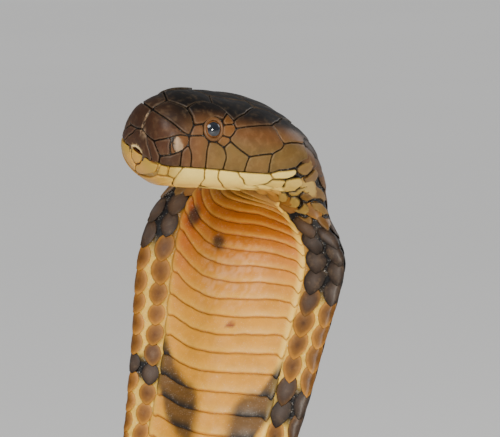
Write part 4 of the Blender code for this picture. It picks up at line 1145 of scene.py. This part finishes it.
def lay_scales(name, s, share, to_q, arc, width, length, blunt, lean, colour, finish, flatness=0.0):
    """Scales in one mesh, from their places, the millimetres to one share, and their sizes and shapes."""
    blunt, lean = np.asarray(blunt).reshape(-1, 1), np.asarray(lean).reshape(-1, 1)
    width = width * scale_draw.uniform(0.94, 1.05, len(s))
    length = length * scale_draw.uniform(0.94, 1.05, len(s))
    power = np.where(np.sin(angle) > 0, blunt, blunt + 0.5)
    outline = (np.abs(np.cos(angle)) ** power + np.abs(np.sin(angle)) ** power) ** (-1 / power)
    x, y = radius * np.cos(angle) * outline, radius * np.sin(angle) * outline
    s_at = np.clip(s[:, None] + y * length[:, None] / 2, 0, LENGTH - 0.5)
    turned = scale_draw.uniform(-0.1, 0.1, len(s)) * length / 2
    share_at = share[:, None] + (x * width[:, None] / 2 + y * turned[:, None]) / arc[:, None]
    fit = np.clip(width / 6.5, 0.3, 1)[:, None]
    body = thick * (1 - np.asarray(flatness).reshape(-1, 1))
    lift = (-0.1 + lean * y + body) * fit
    points = over(s_at, to_q(s_at, share_at), lift)
    shine = scale_draw.uniform(0.84, 1.14, (len(s), 1, 1))
    tones = np.clip(colour(s[:, None] + 0 * y, share[:, None] + 0 * y, radius + 0 * y) * shine, 0, 1)
    uvs = unwrapped(s, to_q(s, share))[:, None] + np.stack([x, y], -1) * SCALE_ON_MAP
    count, each = points.shape[:2]
    faces = (scale_faces[None] + (np.arange(count) * each)[:, None, None]).reshape(-1, 3)
    return tidy_mesh(name, points.reshape(-1, 3), faces, tones.reshape(-1, 3), uvs.reshape(-1, 2), finish)


THROAT_SPAN = 1.08  # half the throat's width, in q
THROAT_PITCH = [(20, 5.4), (50, 7.2), (80, 8)]
# How far from the throat's middle these scales reach before the lip plates begin, in q
THROAT_FREE = [(20, 0.2), (25, 0.42), (32, 0.56), (40, 0.7), (46, 0.84), (52, 0.98), (56, 1.08), (80, 1.08)]
throat_s = np.arange(10, 100, 2.0)
throat_q = np.linspace(2 - THROAT_SPAN, 2, 41)
throat_steps = [np.diff(form(np.full_like(throat_q, s), throat_q), axis=0) for s in throat_s]
throat_arc = np.array([np.linalg.norm(steps, axis=1).sum() for steps in throat_steps])


def round_throat(s, share):
    return 2 - share * THROAT_SPAN


THROAT_TAN, THROAT_BROWN_AND_SHADE, THROAT_SIDE = paint(222, 150, 56), paint(134, 84, 34), paint(124, 84, 44)


def throat_colour(s, share, rim):
    """Cream towards the lips and orange-brown with painted shade towards the hood, with thin brown edges."""
    aside = np.abs(share)
    colour = mix(LIP_CREAM, THROAT_TAN, 0.7 * (1 - step_up(aside, 0.3, 0.6)) * step_up(s, 34, 52))
    # Own orange-brown, darkened as painted shade where the head's shadow falls on the throat
    colour = mix(colour, THROAT_BROWN_AND_SHADE, 0.9 * step_up(s - 6 * aside, 58, 66))
    colour = mix(colour, THROAT_SIDE, 0.8 * step_up(aside, 0.8, 0.95) * step_up(s, 56, 66))
    return mix(colour, LIP_BROWN, step_up(rim, 0.8, 1.0) * 0.7)


half_count = 6  # rows of scales on either side of the throat's middle
shares = (np.arange(2 * half_count) + 0.5 - half_count) / half_count
s, share = quincunx(rear_edges(22, 76, THROAT_PITCH), shares)
kept = np.abs(share) * THROAT_SPAN < through(THROAT_FREE, s)
kept &= (s < 66) | (np.abs(share) > 0.34)
kept &= ~behind_mouth(s, round_throat(s, share))
s, share = s[kept], share[kept]
arc = np.interp(s, throat_s, throat_arc)
width, length = arc / half_count * 1.3, through(THROAT_PITCH, s) * 1.6
throat_finish = scale_finish("throat scale", 0.42, 0.1, 0.2, 0.15)
lay_scales("throat_scales", s, share, round_throat, arc, width, length, 1.6, 0.46,
           throat_colour, throat_finish)

# Belly scutes
# Broad, thin plates right across the belly, one row from throat to tail.  Each grows from its front edge,
# which lies tucked under the one before it, and its rear edge stands free.

# By length: from one scute to the next, how far its ends lie ahead of its middle, and how far the
# neck's turn draws one end ahead and the other back
SCUTE_PITCH = [
    (60, 4.4), (90, 5.2), (105, 5.8), (120, 6.8), (160, 8.1), (250, 9), (700, 10.5), (VENT, 10),
    (LENGTH, 6)]
SCUTE_BOW = [(60, 3), (90, 4.5), (120, 4.2), (160, 3.6), (260, 3.6), (500, 3), (LENGTH, 2)]
SCUTE_SKEW = [(60, 7), (80, 10), (100, 9.5), (120, 6), (140, 3.2), (200, 1.5), (400, 0), (LENGTH, 0)]
SCUTE_START, RAISED_END = 67.0, 430  # the first scute's front, and where the raised part's last one ends
SCUTE_THICK = 0.8
PER_PIECE = 140  # scutes in one mesh of the lying part

THROAT_ORANGE, BELLY_TAN, END_CREAM = paint(190, 106, 24), paint(208, 142, 38), paint(238, 194, 82)
THROAT_PALE, RAISED_TAN, RED_BROWN = paint(214, 152, 66), paint(204, 160, 88), paint(120, 42, 8)
EDGE_BROWN, SMUDGE, BELLY_GREY = paint(156, 88, 24), paint(34, 29, 27), paint(170, 148, 96)
FROST, MOTTLE_GREY = paint(220, 160, 104), paint(96, 90, 82)


def scute_colour(s, q, share, across):
    """Colour along and across a scute; share is 1 at its rear edge, across is 1 at its ends."""
    colour = mix(THROAT_ORANGE, BELLY_TAN, step_up(s, 88, 130))
    colour = mix(colour, THROAT_PALE, 1 - step_up(s, 72, 88))
    # Painted shadow of the head: the scutes nearest the throat are darkened to six tenths
    colour = colour * (0.6 + 0.4 * step_up(s, 74, 104))[:, None]
    colour = mix(colour, RAISED_TAN, step_up(s, 200, 300))
    colour = mix(colour, BELLY_GREY, step_up(s, 300, 700))
    raised = 1 - step_up(s, 300, 900)
    colour = mix(colour, END_CREAM, 0.8 * step_up(-across, 0.84, 0.95) * raised)
    colour = mix(colour, END_CREAM, 0.3 * step_up(across, 0.86, 0.97) * raised)
    shaded = 0.7 * step_up(across, 0.45, 0.8) * (1 - step_up(s, 90, 130))
    colour = mix(colour, colour * np.array([0.8, 0.55, 0.35]), shaded)
    grain = 0.5 + 0.5 * np.sin(s * 2.9 + 3 * np.sin(q * 41)) * np.sin(q * 67 + 2 * np.sin(s * 1.3))
    frosted = hump(s, 110, 12, 8) * hump(q, 2.0, 0.17, 0.08) * step_up(grain, 0.35, 0.7)
    colour = mix(colour, FROST, 0.6 * frosted)
    # Painted highlight: a pale band just in front of each raised scute's rear edge
    colour = mix(colour, END_CREAM, 0.45 * hump(share, 0.84, 0.07, 0.06) * (s < 400))
    colour = mix(colour, EDGE_BROWN, 0.75 * step_up(share, 0.92, 1.0))
    from_middle = np.abs(q - 1.95)
    ragged = 1.6 * np.sin(q * 23) + 0.6 * np.sin(q * 41 + 1)
    smudge = hump(s, 178 - 62 * from_middle + ragged, 11, 3) * step_up(from_middle, 0.04, 0.14) * (s < 205)
    smudge = smudge * (0.82 + 0.18 * step_up(share, 0.6, 1.0))
    spots = np.maximum(hump(np.hypot((s - 92) / 5, (q - 2.3) / 0.07), 0, 0.8, 0.4),
                       hump(np.hypot((s - 99.5) / 4, (q - 2.08) / 0.06), 0, 0.7, 0.4))
    colour = mix(colour, SMUDGE, np.maximum(smudge, 0.85 * spots))
    red_dot = hump(np.hypot((s - 129.5) / 1.3, (q - 1.96) / 0.026), 0, 0.9, 0.3)
    colour = mix(colour, RED_BROWN, 0.9 * red_dot)
    mottled = 0.5 + 0.5 * np.sin(s / 9.1 + 3 * q) * np.sin(s / 5.3 + 11 * q)
    return mix(colour, MOTTLE_GREY, 0.7 * step_up(mottled, 0.45, 0.75) * step_up(s, 450, 1200))


def scutes(name, edges, columns, lines):
    """Overlapping belly scutes in one mesh; each is a thin closed plate with its own cell on the map."""
    lines = np.concatenate([np.linspace(0, 0.9, lines - 2), [0.97, 1.0]])
    across, share = np.meshgrid(np.linspace(-1, 1, columns), lines)
    across, share = across.ravel(), share.ravel()
    n = len(across)
    grid = np.arange(n).reshape(len(lines), columns)
    a, b = grid[:-1, :-1].ravel(), grid[:-1, 1:].ravel()
    c, d = grid[1:, 1:].ravel(), grid[1:, :-1].ravel()
    top = np.concatenate([np.stack([a, b, c], 1), np.stack([a, c, d], 1)])
    ring = np.concatenate([grid[0], grid[1:, -1], grid[-1, -2::-1], grid[-2:0:-1, 0]])
    after = np.roll(ring, -1)
    walls = [np.stack([after, ring, ring + n], 1), np.stack([after, ring + n, after + n], 1)]
    faces = np.concatenate([top, top[:, ::-1] + n, *walls])
    cells = math.ceil(math.sqrt(len(edges)))
    points, colours, uvs = [], [], []
    for index, (front, rear) in enumerate(zip(edges, edges[1:])):
        pitch = rear - front
        reach = through(REACH, rear) * (1 - 0.25 * np.clip((85 - rear) / 18, 0, 1))
        q = 2 + across * reach
        aside = np.abs(across)
        raised = 1 - step_up(rear, 200, 400)
        bow = through(SCUTE_BOW, rear) * across ** 2 + through(SCUTE_SKEW, rear) * across * aside ** 1.4
        bow = bow - 2.2 * share * step_up(aside, 0.84, 1.0) * raised
        waves = scale_draw.uniform(-1, 1, 6)
        wavy = 0.3 * waves[0] * np.sin(across * 5 + waves[1] * 3)
        wavy = wavy + 0.18 * waves[2] * np.sin(across * 13 + waves[3] * 3)
        wavy = wavy + 0.1 * waves[4] * np.sin(across * 29 + waves[5] * 3)
        s = rear - bow + wavy * share + (share - 1) * pitch * 1.32
        end_round = np.sqrt(np.clip(1 - ((aside - 0.9) / 0.1).clip(0, 1) ** 2, 0, 1))
        s = s - (1 - end_round) * share * pitch * 0.3
        puffed = 0.45 * np.sin(math.pi * np.clip((share - 0.2) / 0.8, 0, 1)) * raised
        lift = -0.5 + 1.15 * share ** 1.6 + puffed - 0.2 * step_up(share, 0.95, 1.0)
        lift = lift - 0.5 * step_up(aside, 0.93, 1.0)
        depth = SCUTE_THICK * (0.55 + 0.45 * (1 - step_up(share, 0.9, 1)))
        points.append(np.concatenate([over(s, q, lift), over(s, q, lift - depth)]))
        colour = scute_colour(s, q, share, across)
        # Painted shade: each scute's underside is a quarter darker, and its rear edge darkens towards it
        colours.append(np.concatenate([colour, colour * 0.75]))
        cell = np.stack([across * 0.5 + 0.5, share], 1) * 0.92 + 0.04
        uvs.append(np.tile((np.array(divmod(index, cells)) + cell) / cells, (2, 1)))
    count = len(points)
    every = (faces[None] + (np.arange(count) * 2 * n)[:, None, None]).reshape(-1, 3)
    return tidy_mesh(name, np.concatenate(points), every, np.clip(np.concatenate(colours), 0, 1),
                     np.concatenate(uvs), scute_finish)


scute_finish = scale_finish("belly scute", 0.46, 0.14, 0.3, 0.05, granules=0.3)
scute_edges = rear_edges(SCUTE_START, LENGTH - 40, SCUTE_PITCH)
on_raised = int((scute_edges < RAISED_END).sum())
scutes("belly_scutes_raised", scute_edges[:on_raised + 1], columns=56, lines=9)
for index, start in enumerate(range(on_raised, len(scute_edges) - 1, PER_PIECE)):
    scutes("belly_scutes_%d" % (index + 1), scute_edges[start:start + PER_PIECE + 1], columns=27, lines=6)

# Scales of the back and sides
# Smooth, leathery scales in slanting rows, fifteen round the body and fewer on the tail.  Where the hood is
# spread the skin shows between them; elsewhere each overlaps the next.

SCALE_PITCH = [(50, 5.6), (80, 7.2), (95, 7.9), (180, 8.3), (300, 9.2), (700, 10.5), (VENT, 10), (LENGTH, 6)]
SPREAD = [(0, 0), (74, 0), (96, 1), (190, 1), (280, 0), (LENGTH, 0)]  # how far the skin is stretched
HOOD_END, TAIL_NARROW = 330, 2830  # where the hood's mesh ends, and from where the tail has fewest rows

# From the back's middle to the scutes' ends: the way round in millimetres, and q for each share of it
arc_s = np.concatenate([np.arange(0, 100, 2.0), np.arange(100, 500, 5.0), np.arange(500, LENGTH + 1, 20.0)])
arc_q = np.linspace(0, 2, 121)
SHARES = np.linspace(0, 1.25, 61)
half_arc, q_table = [], []
for s in arc_s:
    ring = form(np.full_like(arc_q, s), arc_q)
    length = np.concatenate([[0], np.cumsum(np.linalg.norm(np.diff(ring, axis=0), axis=1))])
    to_scute = np.interp(2 - through(REACH, s), arc_q, length)
    half_arc.append(to_scute)
    q_table.append(np.interp(SHARES * to_scute, length, arc_q))
half_arc, q_table = np.array(half_arc), np.array(q_table)


def around_back(s, share):
    """q at a share of the way from the back's middle to the scutes' ends, left above nought."""
    row = np.clip(np.searchsorted(arc_s, s, side="right") - 1, 0, len(arc_s) - 2)
    u = (s - arc_s[row]) / (arc_s[row + 1] - arc_s[row])
    column = np.clip(np.abs(share) / SHARES[1], 0, len(SHARES) - 1.001)
    left = column.astype(int)
    v = column - left
    near = q_table[row, left] * (1 - v) + q_table[row, left + 1] * v
    far = q_table[row + 1, left] * (1 - v) + q_table[row + 1, left + 1] * v
    return np.sign(share) * (near * (1 - u) + far * u)


FLAP_BROWN, FLAP_GOLD, FROSTED = paint(100, 60, 20), paint(190, 128, 42), paint(66, 50, 38)
BACK_BROWN, BACK_BLACK, BACK_PALE = paint(64, 42, 24), paint(24, 19, 15), paint(156, 132, 84)
# The last grey is a painted sheen for the middles of the dark hood scales
NECK_FRONT, NECK_REAR, PAINTED_SHEEN_GREY = paint(104, 72, 40), paint(120, 82, 42), paint(98, 88, 82)


def dorsal_colour(s, share, rim):
    """Colour of a back or side scale: share runs from -1 to 1 across the back, and rim is 1 at the rim."""
    aside = np.abs(share)
    dark = darkness(s, np.clip(share * 1.4, -1, 1))
    hood = step_up(aside, 0.62, 0.8) * (1 - step_up(s, 190, 320))
    colour = mix(BACK_BROWN, BACK_BLACK, dark)
    colour = mix(colour, BACK_PALE, 0.75 * (1 - dark) * step_up(s, 200, 320))
    colour = mix(colour, mix(FLAP_BROWN, FROSTED, dark), hood)
    # Painted shade: the hood's scales on the snake's left side are darkened by up to a third
    colour = colour * (1 - 0.36 * hood * step_up(share, 0.3, 0.6))[..., None]
    # Painted sheen: grey in the middle of each scale of the hood's dark bands
    colour = mix(colour, PAINTED_SHEEN_GREY, 0.4 * dark * hood * (1 - step_up(rim, 0.15, 0.75)))
    neck = (1 - step_up(s, 78, 92)) * step_up(aside, 0.4, 0.6)
    colour = mix(colour, mix(NECK_FRONT, NECK_REAR, step_up(s, 66, 76)), neck)
    nape = (1 - step_up(s, 60, 90)) * (1 - step_up(aside, 0.3, 0.6))
    colour = mix(colour, mix(BACK_BROWN, BACK_BLACK, 0.5), nape)
    colour = mix(colour, BELLY_GREY, 0.5 * step_up(aside, 0.9, 1.0) * step_up(s, 400, 700))
    colour = mix(colour, colour * 0.55, 0.6 * step_up(s, 1500, 2800))
    golden = hood * (1 - dark)
    rim_colour = mix(colour * 0.35, mix(colour, FLAP_GOLD, 0.95), golden)
    return mix(colour, rim_colour, step_up(rim, 0.62 - 0.2 * golden, 1.0) * 0.85)


# Where the head's shields end, by q
HEAD_END = [(0, 58.5), (0.6, 58.5), (0.75, 58), (0.92, 54.5)]


def back_scales(name, edges, row_count):
    """Scales in slanting rows over the back and sides, from one place to another, in one mesh."""
    half = row_count / 2
    s, share = quincunx(edges, (np.arange(row_count) + 0.5 - half) / half)
    aside = np.abs(around_back(s, share))
    kept = ((aside < 0.92) | (s > 74)) & (s > through(HEAD_END, aside))
    kept &= ~behind_mouth(s, aside)
    s, share = s[kept], share[kept]
    spread_out = through(SPREAD, s)
    arc = np.interp(s, arc_s, half_arc)
    left_flap = step_up(share, 0.3, 0.5)
    width = arc / half * (1.24 - (0.32 - 0.06 * left_flap) * spread_out)
    length = through(SCALE_PITCH, s) * (1.55 - (0.36 - 0.22 * left_flap) * spread_out)
    blunt = 1.5 - 0.12 * left_flap * spread_out
    return lay_scales(name, s, share, around_back, arc, width, length, blunt, 0.34 - 0.1 * spread_out,
                      dorsal_colour, back_finish, 0.4 * spread_out)


back_finish = scale_finish("back scale", 0.46, 0.22, 0.3, 0.06)
row_edges = rear_edges(50, VENT, SCALE_PITCH)
hood_end = int((row_edges < HOOD_END).sum())
back_scales("hood_scales", row_edges[:hood_end + 1], 15)
thirds = np.linspace(hood_end, len(row_edges) - 1, 4).astype(int)
for index, (start, end) in enumerate(zip(thirds, thirds[1:])):
    back_scales("body_scales_%d" % (index + 1), row_edges[start:end + 1], 15)
back_scales("tail_scales_1", rear_edges(row_edges[-1], TAIL_NARROW, SCALE_PITCH), 9)
back_scales("tail_scales_2", rear_edges(TAIL_NARROW, LENGTH - 12, SCALE_PITCH), 5)
